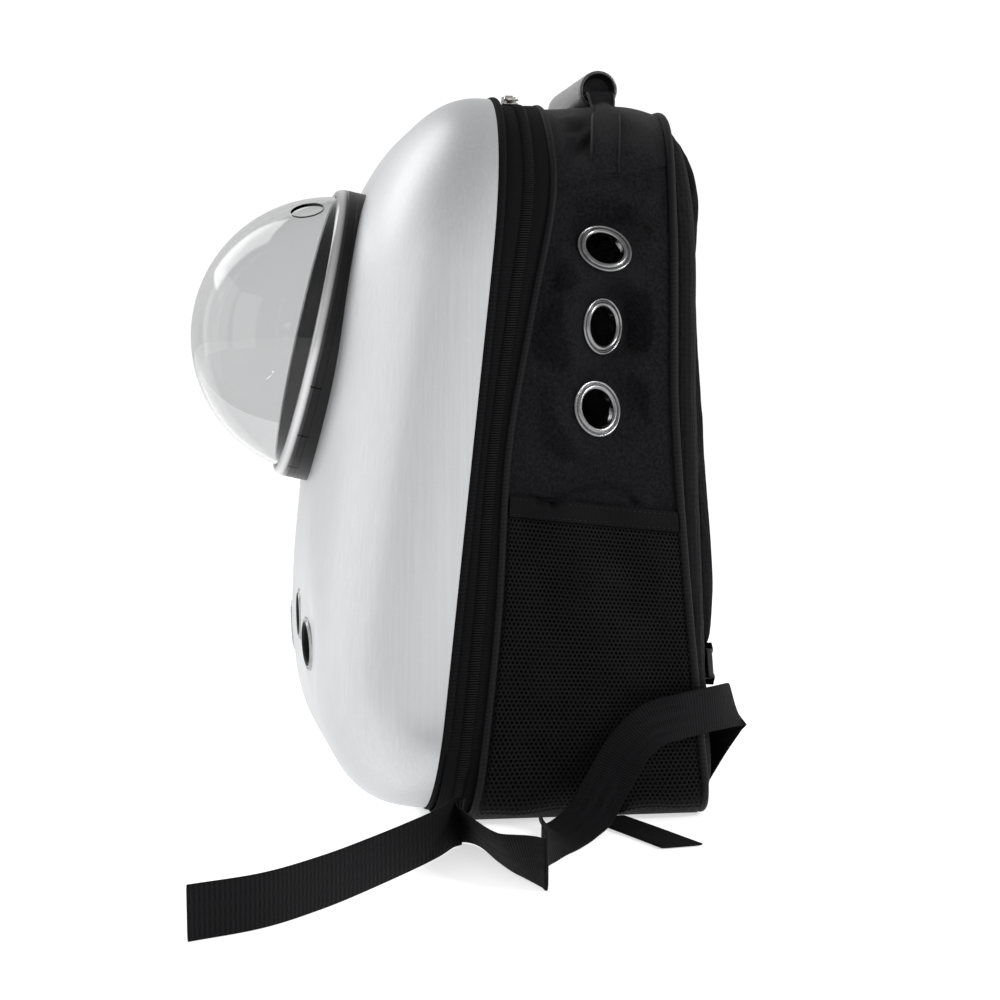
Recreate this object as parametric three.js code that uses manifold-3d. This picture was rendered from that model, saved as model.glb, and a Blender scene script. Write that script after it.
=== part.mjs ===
// Pet carrier backpack: a hard front shell with a clear dome window is zipped to a soft fabric body.
// Millimetres, +Z up. The shell faces -Y, the wearer's back is +Y and the side with the loose strap is +X.
// The origin is on the floor, in the middle of the fabric base.
import * as THREE from "three";
import { mergeVertices } from "three/addons/utils/BufferGeometryUtils.js";
import Module from "manifold-3d";

const { lerp, smoothstep, degToRad } = THREE.MathUtils;
const wasm = await Module();
wasm.setup();

// Driving dimensions
const GAP = 0.3;
const CLOTH = 2;

// Outline of the bag seen from the front, at the shell's rim, at the body's piping and at the back seam.
const OUTLINES = [
  { half: 160, low: 3, high: 413.5, topRadius: 100, lowRadius: 56 },
  { half: 158, low: 0, high: 407, topRadius: 97, lowRadius: 28 },
  { half: 150, low: 0, high: 404.5, topRadius: 88, lowRadius: 24 },
];
const RIM = 0;
const PIPING = 1;
const SEAM = 2;
// How far the top bows up between the piping and the back seam.
const CROWN = { rise: 4, power: 1.6 };

// The shell's rim lies in a plane whose top leans back. The piping and the back seam follow it less evenly.
const RIM_LOW_Y = -89.3;
const RIM_SLOPE = 0.1055;
const BAND = {
  lowY: -65.5,
  slope: 0.117,
  waistZ: 209,
  waist: 6,
  waistSpread: 70,
  swellZ: 354,
  swell: 4,
  swellSpread: 40,
  sideSteps: 6,
};
const BACK_SEAM = { y: 46, flareBelow: 244, lowFlare: 20, flarePower: 1.3, leanAbove: 334, topLean: 8 };
const BACK_FACE = { y: 64, lowFlare: 10, inset: 15 };

const SHELL = { depth: 78, wall: 1.8, topPower: 2.3, lowPower: 2.95, middleZ: 212, rings: 9 };
const WINDOW = { y: -134.9, z: 274.8, tilt: degToRad(12.4), domeRadius: 85, domeWall: 2, domeAt: -2.6 };
const RING = { radius: 89, bore: 85.7, lip: 84.2, front: 14, back: -9 };
// Middle of the dome's round air hole, from the middle of its sphere.
const AIR_HOLE = { radius: 10, x: 35.7, y: -17.2, z: 75.2 };
const EYELET = { radius: 16, bore: 10.75, proud: 1.6, back: -3.2, sides: 10 };
const FRONT_VENTS = [
  { x: -60, z: 93 },
  { x: 0, z: 105 },
  { x: 60, z: 93 },
];

// Eyelets of one side. The slack cloth turns each of them upwards or towards the back, in degrees.
const SIDE_VENTS = [
  { y: 6, z: 320, turnUp: 22, turnBack: 6 },
  { y: 5, z: 277, turnUp: 0, turnBack: 33 },
  { y: 2, z: 231, turnUp: 10, turnBack: 22 },
];
const VENT_SEAT = 17;
const VENT_REACH = 36;

// Creases of a side panel: a shallow valley of the given depth along a line through y, z.
const CREASES = [
  { y: 26, z: 345, angle: 54, length: 22, width: 7, depth: 3 },
  { y: -15, z: 275, angle: 50, length: 20, width: 8, depth: 3.5 },
  { y: -22, z: 322, angle: 100, length: 30, width: 9, depth: 3 },
  { y: 28, z: 246, angle: 70, length: 36, width: 9, depth: 3 },
  { y: 0, z: 193, angle: 8, length: 45, width: 8, depth: 2.5 },
];

const PANELS = { baseSeamZ: 7, topSeamZ: 361, frontInset: 2.9, backInset: 0.4, rows: 14, columns: 7 };
const POCKET = { low: 5, frontTop: 183, backTop: 173, hem: 11, cloth: 1, hemCloth: 2, slack: 2.6 };
const POCKET_CLEAR = 0.7;
const BINDING = { depth: 5, proud: 1.2, thick: 3.6 };
const COIL = { depth: 5.5, height: 1.7 };
const CORD = { radius: 2.2, out: 0.9 };

const GRIP = { length: 114, radius: 11.5, y: 23, endRadius: 8, legEnd: 6, legClear: 0.6 };
const WEBBING = { width: 25, thick: 1.5, floorGap: 0.5 };
const SHOULDER = { thick: 9, topWidth: 58, lowWidth: 46, squareness: 0.55 };
const SLIDER = { x: 48, length: 12, width: 9, base: 2, lugs: 3.6, pin: 0.8, pinClear: 1.4 };
const PULL = { length: 24, width: 4.4, thick: 1.4, eye: 1, droop: degToRad(8) };

// Centre line of a padded shoulder strap, from its sewn top end down the back.
const SHOULDER_ROUTE = [
  { x: 48, y: 67.3, z: 390 },
  { x: 52, y: 74.3, z: 366 },
  { x: 59, y: 72.3, z: 336 },
  { x: 70, y: 69.1, z: 294 },
  { x: 90, y: 69.6, z: 209 },
  { x: 103, y: 72, z: 139 },
  { x: 108, y: 74.4, z: 92 },
];

// The loose webbing: places on its centre line, with the direction across its width.
const LOOSE_ROUTE = [
  { x: 106, y: 74.3, z: 20, across: [-0.85, 0, 0.5] },
  { x: 113, y: 80, z: 38, across: [-0.7, -0.2, 0.65] },
  { x: 118, y: 86, z: 54, across: [-0.25, -0.35, 0.9] },
  { x: 121.5, y: 89, z: 59, across: [0, -0.35, 1] },
  { x: 128, y: 88, z: 61.5, across: [0, -0.3, 1] },
  { x: 150, y: 73, z: 63, across: [0, -0.12, 1] },
  { x: 168, y: 48, z: 61, across: [-0.1, 0, 1] },
  { x: 174, y: 30, z: 57, across: [-0.35, -0.4, 1] },
  { x: 178, y: 14, z: 43, across: [-0.6, -0.9, 0.6] },
  { x: 181, y: 3, z: 25, across: [-0.3, -1, 0.3] },
  { x: 186, y: -6, z: 12, across: [-0.25, -1, 0.3] },
  { x: 199, y: -17, z: 6.5, across: [-0.3, -0.95, 0.35] },
  { x: 217, y: -27, z: 6, across: [-0.35, -0.85, 0.42] },
  { x: 245, y: -38, z: 11.2, across: [-0.2, -0.5, 0.8] },
  { x: 285, y: -49.5, z: 13, across: [0, 0, 1] },
  { x: 323, y: -53.8, z: 13, across: [0, 0, 1] },
  { x: 330, y: -55.5, z: 13, across: [0, 0, 1] },
  { x: 323, y: -57.2, z: 12.8, across: [0, -0.1, 1] },
  { x: 293, y: -68.2, z: 11, across: [0, -0.5, 0.87] },
  { x: 259, y: -73.2, z: 11, across: [0, -0.5, 0.87] },
  { x: 215, y: -76.8, z: 11, across: [0, -0.5, 0.87] },
  { x: 203, y: -80, z: 11.6, across: [0, -0.35, 0.93] },
  { x: 211, y: -85, z: 12.7, across: [0, -0.1, 1] },
  { x: 238, y: -96, z: 13, across: [0, 0, 1] },
  { x: 304, y: -133, z: 13, across: [0, 0, 1] },
  { x: 357, y: -166.5, z: 13, across: [0, 0, 1] },
  { x: 392.5, y: -196, z: 13, across: [0, 0, 1] },
  { x: 413.5, y: -228.5, z: 13, across: [0, -0.08, 1] },
];
const END_ROUTE = [
  { x: 141.6, y: 10.5, z: 1.3, across: [-0.2, 1, 0] },
  { x: 179, y: 20.7, z: 1.3, across: [-0.22, 1, 0] },
  { x: 230.5, y: 34, z: 1.3, across: [-0.22, 1, 0] },
];
const LEFT_ROUTE = [
  { x: -100, y: 74.4, z: 20, across: [1, 0, 0.4] },
  { x: -108, y: 76.6, z: 38, across: [1, 0, 0.2] },
  { x: -110.6, y: 77.9, z: 57, across: [1, 0, -0.1] },
  { x: -109.2, y: 77.2, z: 73.2, across: [1, 0, -0.1] },
];
const BUCKLE = { width: 33, height: 17, thick: 3.6, slot: 3.4, slotLength: 26, bar: 3.2 };

const BLACK_CLOTH = { color: 0x1c1c1e, roughness: 0.85, metalness: 0 };
const BLACK_PLASTIC = { color: 0x121214, roughness: 0.35, metalness: 0 };
const SILVER_SHELL = { color: 0xc9ccd1, roughness: 0.3, metalness: 0.7 };
const CLEAR_DOME = { color: 0xdfe3e6, roughness: 0.05, metalness: 0, transparent: true, opacity: 0.35 };
const DARK_METAL = { color: 0x6d6e72, roughness: 0.3, metalness: 1 };

const model = new THREE.Group();

function addPiece(name, geometry, look) {
  const mesh = new THREE.Mesh(geometry, new THREE.MeshStandardMaterial(look));
  mesh.name = name;
  model.add(mesh);
  return mesh;
}

const bell = (distance, spread) => Math.exp(-((distance / spread) ** 2));

// A solid from rows of points, each row a closed outline. The ends are closed across the outline,
// or the last row joins the first in a ring.
function loft(rows, isRing = false) {
  const count = rows[0].length;
  const points = rows.flat();
  const index = [];
  const last = isRing ? rows.length : rows.length - 1;
  for (let r = 0; r < last; r++) {
    const here = r * count;
    const next = ((r + 1) % rows.length) * count;
    for (let j = 0; j < count; j++) {
      const k = (j + 1) % count;
      index.push(here + j, next + j, next + k, here + j, next + k, here + k);
    }
  }
  if (!isRing) {
    const end = (rows.length - 1) * count;
    for (let j = 0; j < count / 2 - 1; j++) {
      const a = j;
      const b = j + 1;
      const c = count - 2 - j;
      const d = count - 1 - j;
      index.push(a, b, c, a, c, d, end + a, end + c, end + b, end + a, end + d, end + c);
    }
  }
  return facingOut(points, index);
}

// A closed surface as a geometry whose faces point outwards.
function facingOut(points, index) {
  let volume = 0;
  for (let i = 0; i < index.length; i += 3) {
    const [a, b, c] = [points[index[i]], points[index[i + 1]], points[index[i + 2]]];
    volume += a.dot(new THREE.Vector3().crossVectors(b, c));
  }
  if (volume < 0) index.reverse();
  const geometry = new THREE.BufferGeometry().setFromPoints(points);
  geometry.setIndex(index);
  return geometry;
}

function toSolid(geometry) {
  const bare = geometry.clone();
  bare.deleteAttribute("normal");
  bare.deleteAttribute("uv");
  const merged = mergeVertices(bare, 1e-3);
  const ids = merged.index.array;
  const kept = [];
  for (let i = 0; i < ids.length; i += 3) {
    const [a, b, c] = [ids[i], ids[i + 1], ids[i + 2]];
    if (a !== b && b !== c && a !== c) kept.push(a, b, c);
  }
  const vertProperties = new Float32Array(merged.attributes.position.array);
  return new wasm.Manifold(new wasm.Mesh({ numProp: 3, vertProperties, triVerts: new Uint32Array(kept) }));
}

function fromSolid(solid) {
  const mesh = solid.getMesh();
  const geometry = new THREE.BufferGeometry();
  geometry.setAttribute("position", new THREE.BufferAttribute(mesh.vertProperties, 3));
  geometry.setIndex(new THREE.BufferAttribute(mesh.triVerts, 1));
  return geometry;
}

const cut = (geometry, cutters) =>
  fromSolid(cutters.reduce((solid, cutter) => solid.subtract(toSolid(cutter)), toSolid(geometry)));
const join = (geometries) => fromSolid(geometries.map(toSolid).reduce((whole, piece) => whole.add(piece)));

// Turns a geometry made along +Y to an axis, and moves it to a point.
function aimed(geometry, point, axis) {
  const turn = new THREE.Quaternion().setFromUnitVectors(new THREE.Vector3(0, 1, 0), axis);
  return geometry.applyQuaternion(turn).translate(point.x, point.y, point.z);
}

function lathe(profile, sides) {
  return new THREE.LatheGeometry(
    profile.map(([radius, along]) => new THREE.Vector2(radius, along)),
    sides,
  );
}

// The bag's outline

function outlineAt(v) {
  const i = Math.min(Math.floor(v), OUTLINES.length - 2);
  const [a, b] = [OUTLINES[i], OUTLINES[i + 1]];
  const mixed = {};
  for (const key of Object.keys(a)) mixed[key] = lerp(a[key], b[key], v - i);
  if (v > PIPING) mixed.high += CROWN.rise * Math.sin(Math.PI * (v - PIPING) ** CROWN.power);
  return mixed;
}

// Lengths along the right half of an outline: base, low corner, side, top corner, top.
function stretches({ half, low, high, topRadius, lowRadius }) {
  return [
    half - lowRadius,
    (lowRadius * Math.PI) / 2,
    high - topRadius - low - lowRadius,
    (topRadius * Math.PI) / 2,
    half - topRadius,
  ];
}

// Point and outward normal at a length along the right half; a negative length runs along the left half.
function outlinePoint(outline, signedLength) {
  const { half, low, high, topRadius, lowRadius } = outline;
  const [base, lowArc, side, topArc] = stretches(outline);
  const mirror = signedLength < 0 ? -1 : 1;
  let s = Math.abs(signedLength);
  const put = (x, z, nx, nz) => ({ x: mirror * x, z, nx: mirror * nx, nz });
  if (s <= base) return put(s, low, 0, -1);
  s -= base;
  if (s <= lowArc) {
    const a = s / lowRadius;
    const [nx, nz] = [Math.sin(a), -Math.cos(a)];
    return put(half - lowRadius + lowRadius * nx, low + lowRadius + lowRadius * nz, nx, nz);
  }
  s -= lowArc;
  if (s <= side) return put(half, low + lowRadius + s, 1, 0);
  s -= side;
  if (s <= topArc) {
    const a = s / topRadius;
    const [nx, nz] = [Math.cos(a), Math.sin(a)];
    return put(half - topRadius + topRadius * nx, high - topRadius + topRadius * nz, nx, nz);
  }
  return put(half - topRadius - (s - topArc), high, 0, 1);
}

// Length along the right half at which the side has a given height.
function lengthAtHeight(outline, z) {
  const { low, high, topRadius, lowRadius } = outline;
  const [base, lowArc, side] = stretches(outline);
  if (z < low + lowRadius) return base + lowRadius * Math.acos(1 - (z - low) / lowRadius);
  if (z < high - topRadius) return base + lowArc + z - low - lowRadius;
  return base + lowArc + side + topRadius * Math.asin((z - high + topRadius) / topRadius);
}

// Stops round the whole outline, with each straight and each corner divided evenly.
function loopStops(outline, sideSteps = 4) {
  const divisions = [2, 4, sideSteps, 6, 2];
  const right = [0];
  let start = 0;
  stretches(outline).forEach((length, i) => {
    for (let n = 1; n <= divisions[i]; n++) right.push(start + (length * n) / divisions[i]);
    start += length;
  });
  const left = right.slice(1, -1).map((s) => -s);
  return [...right, ...left.reverse()];
}

function rimY(z) {
  return RIM_LOW_Y + RIM_SLOPE * z;
}
function pipingY(z) {
  const waist = BAND.waist * bell(z - BAND.waistZ, BAND.waistSpread);
  const swell = BAND.swell * bell(z - BAND.swellZ, BAND.swellSpread);
  return BAND.lowY + BAND.slope * z - waist + swell;
}
function flareAt(z) {
  return Math.max(0, 1 - z / BACK_SEAM.flareBelow) ** BACK_SEAM.flarePower;
}
function seamY(z) {
  const lean = Math.max(0, (z - BACK_SEAM.leanAbove) / (OUTLINES[SEAM].high - BACK_SEAM.leanAbove));
  return BACK_SEAM.y + BACK_SEAM.lowFlare * flareAt(z) + BACK_SEAM.topLean * lean ** 2;
}
function backY(z) {
  return BACK_FACE.y + BACK_FACE.lowFlare * flareAt(z);
}
const guideY = (v, z) =>
  v < PIPING ? lerp(rimY(z), pipingY(z), v) : lerp(pipingY(z), seamY(z), v - PIPING);

// A ring of the given section round the outline v. Section corners are steps back along Y and out of the bag.
// Under the bag the ring is sunk so that the base keeps the floor.
function outlineRing(v, section, sink = 0) {
  const outline = outlineAt(v);
  const rows = loopStops(outline, BAND.sideSteps).map((s) => {
    const p = outlinePoint(outline, s);
    return section.map(([back, out]) => {
      const stand = out - sink * Math.max(0, -p.nz);
      return new THREE.Vector3(p.x + p.nx * stand, guideY(v, p.z) + back, p.z + p.nz * stand);
    });
  });
  return loft(rows, true);
}

// Front shell

const shellAxis = new THREE.Vector3(0, -1, RIM_SLOPE).normalize();
const shellMiddle = new THREE.Vector3(0, rimY(SHELL.middleZ), SHELL.middleZ);

// One loop of the dish, from its rim at 0 to its front at 1, set in from the outer face.
function dishLoop(turn, inset) {
  const outline = OUTLINES[RIM];
  return loopStops(outline).map((s) => {
    const p = outlinePoint(outline, s);
    const rim = new THREE.Vector3(p.x - p.nx * inset, rimY(p.z), p.z - p.nz * inset);
    const rise = smoothstep(p.z, outline.low, outline.high);
    const power = 2 / lerp(SHELL.lowPower, SHELL.topPower, rise);
    const angle = (turn * Math.PI) / 2;
    const spread = Math.cos(angle) ** power;
    const depth = (SHELL.depth - inset) * Math.sin(angle) ** power;
    return rim.sub(shellMiddle).multiplyScalar(spread).add(shellMiddle).addScaledVector(shellAxis, depth);
  });
}

function shellDish() {
  const outer = [];
  const inner = [];
  for (let n = 0; n < SHELL.rings; n++) {
    const turn = n / (SHELL.rings - 0.45);
    outer.unshift(dishLoop(turn, 0));
    inner.push(dishLoop(turn, SHELL.wall));
  }
  return loft([...outer, ...inner]);
}

const windowAxis = new THREE.Vector3(0, -Math.cos(WINDOW.tilt), Math.sin(WINDOW.tilt));
const windowSeat = new THREE.Vector3(0, WINDOW.y, WINDOW.z);

// Where the shell's outer face is, seen from the front at x, z, and its normal there.
function onShell(mesh, x, z) {
  const ray = new THREE.Raycaster(new THREE.Vector3(x, -500, z), new THREE.Vector3(0, 1, 0));
  const [hit] = ray.intersectObject(mesh);
  return { point: hit.point, normal: hit.face.normal.clone() };
}

function eyelet({ point, normal }) {
  const { radius, bore, proud, back, sides } = EYELET;
  const profile = [
    [bore, back],
    [radius, back],
    [radius, proud - 1],
    [radius - 1.4, proud],
    [bore + 1.4, proud],
    [bore, proud - 1.2],
    [bore, back],
  ];
  return aimed(lathe(profile, sides), point, normal);
}
function eyeletHole({ point, normal }) {
  const radius = EYELET.radius + GAP;
  return aimed(new THREE.CylinderGeometry(radius, radius, 2 * EYELET.radius, 20), point, normal);
}

function buildFront() {
  const dish = shellDish();
  const probe = new THREE.Mesh(dish);
  const seats = FRONT_VENTS.map(({ x, z }) => onShell(probe, x, z));
  const windowHole = aimed(
    new THREE.CylinderGeometry(RING.radius + GAP, RING.radius + GAP, 120, 40),
    windowSeat,
    windowAxis,
  );
  addPiece("front_shell", cut(dish, [windowHole, ...seats.map(eyeletHole)]), SILVER_SHELL);
  seats.forEach((seat, n) => addPiece("front_vent_" + (n + 1), eyelet(seat), DARK_METAL));

  const ring = lathe(
    [
      [RING.bore, RING.back],
      [RING.radius, RING.back],
      [RING.radius, RING.front - 2],
      [RING.radius - 2, RING.front],
      [RING.lip, RING.front],
      [RING.lip, RING.front - 1],
      [RING.bore, RING.front - 2],
      [RING.bore, RING.back],
    ],
    36,
  );
  addPiece("window_ring", aimed(ring, windowSeat, windowAxis), BLACK_PLASTIC);
  addPiece("window_dome", windowDome(), CLEAR_DOME);
}

function windowDome() {
  const { domeRadius, domeWall, domeAt } = WINDOW;
  const steps = 7;
  const bow = (radius) =>
    Array.from({ length: steps + 1 }, (_, n) => {
      const a = (n / steps) * Math.PI * 0.5;
      return [radius * Math.sin(a), domeAt + radius * Math.cos(a)];
    });
  const skirt = RING.back + domeWall;
  const profile = [
    ...bow(domeRadius - domeWall),
    [domeRadius - domeWall, skirt],
    [domeRadius, skirt],
    ...bow(domeRadius).reverse(),
  ];
  const dome = aimed(lathe(profile, 28), windowSeat, windowAxis);
  const { radius, x, y, z } = AIR_HOLE;
  const towards = new THREE.Vector3(x, y, z).normalize();
  const middle = windowSeat.clone().addScaledVector(windowAxis, domeAt).addScaledVector(towards, domeRadius);
  return cut(dome, [aimed(new THREE.CylinderGeometry(radius, radius, 20, 16), middle, towards)]);
}

// Closure between shell and body

function buildClosure() {
  const { depth, proud, thick } = BINDING;
  const edge = [
    [GAP, proud - 0.8],
    [depth / 2, proud],
    [depth, proud - 0.8],
    [depth, proud - thick],
    [GAP, proud - thick],
  ];
  addPiece("shell_binding", outlineRing(RIM, edge), BLACK_CLOTH);

  const tapeBack = (z) => pipingY(z) - rimY(z) - CORD.radius - GAP;
  const outline = outlineAt(0.5);
  const rows = loopStops(outline, BAND.sideSteps).map((s) => {
    const p = outlinePoint(outline, s);
    const start = depth + 2 * GAP;
    const end = tapeBack(p.z);
    const middle = (start + end) / 2;
    const section = [
      [start, 0],
      [middle - COIL.depth / 2, 0],
      [middle - COIL.depth / 2 + 0.8, COIL.height],
      [middle + COIL.depth / 2 - 0.8, COIL.height],
      [middle + COIL.depth / 2, 0],
      [end, 0],
      [end, -CLOTH],
      [start, -CLOTH],
    ];
    return section.map(([back, out]) => {
      const lift = out - 1;
      return new THREE.Vector3(p.x + p.nx * lift, rimY(p.z) + back, p.z + p.nz * lift);
    });
  });
  addPiece("zip_band", loft(rows, true), BLACK_CLOTH);

  const sides = 6;
  const round = Array.from({ length: sides }, (_, n) => {
    const a = (n / sides) * 2 * Math.PI;
    return [CORD.radius * Math.cos(a), CORD.out + CORD.radius * Math.sin(a)];
  });
  addPiece("body_piping", outlineRing(PIPING, round, CORD.out + CORD.radius + GAP), BLACK_CLOTH);
}

// Fabric body

// How far the slack cloth of a side stands out from its smooth form.
function slackAt(y, z) {
  let out = 0;
  for (const vent of SIDE_VENTS) {
    const [dy, dz] = [y - vent.y, z - vent.z];
    const hold = 1 - smoothstep(Math.hypot(dy, dz), VENT_SEAT, VENT_REACH);
    out -= hold * (dy * Math.tan(degToRad(vent.turnBack)) + dz * Math.tan(degToRad(vent.turnUp)));
  }
  for (const crease of CREASES) {
    const a = degToRad(crease.angle);
    const along = (y - crease.y) * Math.cos(a) + (z - crease.z) * Math.sin(a);
    const over = (z - crease.z) * Math.cos(a) - (y - crease.y) * Math.sin(a);
    out -= crease.depth * bell(along, crease.length) * bell(over, crease.width);
  }
  return out;
}

// A point of the body's skin at a height on one side; v runs from the piping to the back seam.
function sidePoint(side, z, v, out) {
  const outline = outlineAt(v);
  const p = outlinePoint(outline, lengthAtHeight(outline, z));
  const front = pipingY(z) + PANELS.frontInset;
  const back = seamY(z) - PANELS.backInset;
  const y = lerp(front, back, v - PIPING);
  const edge = Math.min(1, (v - PIPING) * 6, (SEAM - v) * 6);
  const stand = out + slackAt(y, z) * edge;
  return new THREE.Vector3(side * (p.x + p.nx * stand), y, p.z + p.nz * stand);
}

const columnsOf = (count) => Array.from({ length: count + 1 }, (_, n) => PIPING + n / count);

// A sheet on one side, between two heights that may differ from front to back.
function sideSheet(side, lowZ, highZ, rows, columns, outer, inner) {
  const vs = columnsOf(columns);
  const grid = Array.from({ length: rows + 1 }, (_, r) => {
    const at = (v, stand) => {
      const z = lerp(lowZ(v), highZ(v), r / rows);
      return sidePoint(side, z, v, stand(z, v));
    };
    return [...vs.map((v) => at(v, outer)), ...vs.toReversed().map((v) => at(v, inner))];
  });
  return loft(grid);
}

function ventSeat(side, vent) {
  const v = PIPING + (vent.y - pipingY(vent.z)) / (seamY(vent.z) - pipingY(vent.z));
  const step = 0.02;
  const point = sidePoint(side, vent.z, v, 0);
  const alongY = sidePoint(side, vent.z, v + step, 0).sub(sidePoint(side, vent.z, v - step, 0));
  const alongZ = sidePoint(side, vent.z + 3, v, 0).sub(sidePoint(side, vent.z - 3, v, 0));
  const normal = alongY.cross(alongZ).normalize().multiplyScalar(side);
  return { point, normal };
}

function buildSide(side, word) {
  const { baseSeamZ, topSeamZ, rows, columns } = PANELS;
  const seats = SIDE_VENTS.map((vent) => ventSeat(side, vent));
  const panel = sideSheet(
    side,
    () => baseSeamZ + GAP / 2,
    () => topSeamZ - GAP / 2,
    rows,
    columns,
    () => 0,
    () => -CLOTH,
  );
  addPiece("side_panel_" + word, cut(panel, seats.map(eyeletHole)), BLACK_CLOTH);
  seats.forEach((seat, n) => addPiece("side_vent_" + word + "_" + (n + 1), eyelet(seat), DARK_METAL));

  const hemTop = (v) => lerp(POCKET.frontTop, POCKET.backTop, v - PIPING);
  const hemLow = (v) => hemTop(v) - POCKET.hem;
  const across = (v) => Math.sin((v - PIPING) * Math.PI);
  const rise = (z) => Math.sin(Math.min(1, (z - POCKET.low) / 60) * (Math.PI / 2));
  const stand = (z, v) => POCKET_CLEAR + POCKET.slack * across(v) * rise(z);
  const netTop = (v) => hemLow(v) - GAP;
  const net = sideSheet(
    side,
    () => baseSeamZ + GAP / 2,
    netTop,
    8,
    6,
    (z, v) => stand(z, v) + POCKET.cloth,
    stand,
  );
  addPiece("pocket_" + word, net, BLACK_CLOTH);
  const hem = sideSheet(side, hemLow, hemTop, 1, 6, (z, v) => stand(z, v) + POCKET.hemCloth, stand);
  addPiece("pocket_hem_" + word, hem, BLACK_CLOTH);
}

// A sheet across both sides, through the base or over the top, between the same seam on the left and right.
function crossSheet(stopsOf, columns, thick) {
  const vs = columnsOf(columns);
  const count = stopsOf(OUTLINES[PIPING]).length;
  const rows = Array.from({ length: count }, (_, r) => {
    const at = (v, out) => {
      const outline = outlineAt(v);
      const p = outlinePoint(outline, stopsOf(outline)[r]);
      const front = pipingY(p.z) + PANELS.frontInset;
      const back = seamY(p.z) - PANELS.backInset;
      return new THREE.Vector3(p.x + p.nx * out, lerp(front, back, v - PIPING), p.z + p.nz * out);
    };
    return [...vs.map((v) => at(v, 0)), ...vs.toReversed().map((v) => at(v, -thick))];
  });
  return loft(rows);
}

function evenly(from, to, count) {
  return Array.from({ length: count + 1 }, (_, n) => lerp(from, to, n / count));
}

function baseStops(outline) {
  const [base] = stretches(outline);
  const seam = lengthAtHeight(outline, PANELS.baseSeamZ - GAP / 2);
  const right = evenly(base, seam, 4);
  return [...right.map((s) => -s).reverse(), 0, ...right];
}

function topStops(outline) {
  const [base, lowArc, side, topArc, top] = stretches(outline);
  const half = base + lowArc + side + topArc + top;
  const seam = lengthAtHeight(outline, PANELS.topSeamZ + GAP / 2);
  const right = evenly(seam, half - top, 7);
  return [...right, half, ...right.map((s) => -s).reverse()];
}

// The padded back: a cushion that swells out behind the back seam and is flat where it meets the wearer.
function backPanel() {
  const outline = OUTLINES[SEAM];
  const middle = outline.high / 2;
  const loop = (out, scale, yOf) =>
    loopStops(outline).map((s) => {
      const p = outlinePoint(outline, s);
      const z = middle + (p.z + p.nz * out - middle) * scale;
      return new THREE.Vector3((p.x + p.nx * out) * scale, yOf(z), z);
    });
  const inside = (z) => seamY(z) + GAP;
  const swell = (share) => (z) => lerp(seamY(z), backY(z), share);
  const inset = -BACK_FACE.inset;
  return loft([
    loop(inset, 0.45, inside),
    loop(inset, 0.75, inside),
    loop(-CLOTH, 1, inside),
    loop(0, 1, swell(0.1)),
    loop(-0.5, 1, swell(0.35)),
    loop(-4, 1, swell(0.75)),
    loop(inset, 1, backY),
    loop(inset, 0.75, backY),
    loop(inset, 0.45, backY),
  ]);
}

function buildBody() {
  buildSide(1, "right");
  buildSide(-1, "left");
  addPiece("base_panel", crossSheet(baseStops, 4, CLOTH), BLACK_CLOTH);
  addPiece("top_panel", crossSheet(topStops, 5, CLOTH), BLACK_CLOTH);
  addPiece("back_panel", backPanel(), BLACK_CLOTH);
}

// Straps and handle

// A flat band along a route, with its width set by a direction at each place.
function ribbon(route, steps) {
  const middles = route.map(({ x, y, z }) => new THREE.Vector3(x, y, z));
  const leans = route.map(({ across }) => new THREE.Vector3(...across).normalize());
  const centre = new THREE.CatmullRomCurve3(middles);
  const lean = new THREE.CatmullRomCurve3(leans);
  const rows = Array.from({ length: steps + 1 }, (_, n) => {
    const t = n / steps;
    const middle = centre.getPoint(t);
    const along = centre.getTangent(t);
    const across = lean.getPoint(t);
    across.addScaledVector(along, -across.dot(along)).normalize();
    const normal = new THREE.Vector3().crossVectors(along, across);
    const corner = (side, face) =>
      middle
        .clone()
        .addScaledVector(across, (side * WEBBING.width) / 2)
        .addScaledVector(normal, (face * WEBBING.thick) / 2);
    const row = [corner(-1, -1), corner(1, -1), corner(1, 1), corner(-1, 1)];
    const sunk = Math.max(0, WEBBING.floorGap - Math.min(...row.map(({ z }) => z)));
    return row.map((point) => point.setZ(point.z + sunk));
  });
  return loft(rows);
}

function shoulderLine(side) {
  return new THREE.CatmullRomCurve3(SHOULDER_ROUTE.map(({ x, y, z }) => new THREE.Vector3(side * x, y, z)));
}

// Directions across and out from a shoulder strap whose centre line runs along the given way.
function strapFrame(along) {
  const across = new THREE.Vector3(1, 0, 0).addScaledVector(along, -along.x).normalize();
  return { across, normal: new THREE.Vector3().crossVectors(along, across) };
}

function shoulderStrap(side) {
  const centre = shoulderLine(side);
  const steps = 16;
  const sides = 8;
  const squarer = (value) => Math.sign(value) * Math.abs(value) ** SHOULDER.squareness;
  const rows = Array.from({ length: steps + 1 }, (_, n) => {
    const t = n / steps;
    const middle = centre.getPoint(t);
    const { across, normal } = strapFrame(centre.getTangent(t));
    const half = lerp(SHOULDER.topWidth, SHOULDER.lowWidth, t) / 2;
    const thick = (SHOULDER.thick / 2) * Math.min(1, 0.45 + 6 * t, 0.45 + 6 * (1 - t));
    return Array.from({ length: sides }, (_, k) => {
      const a = ((k + 0.5) / sides) * 2 * Math.PI;
      return middle
        .clone()
        .addScaledVector(across, half * squarer(Math.cos(a)))
        .addScaledVector(normal, thick * squarer(Math.sin(a)));
    });
  });
  return loft(rows);
}

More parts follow.
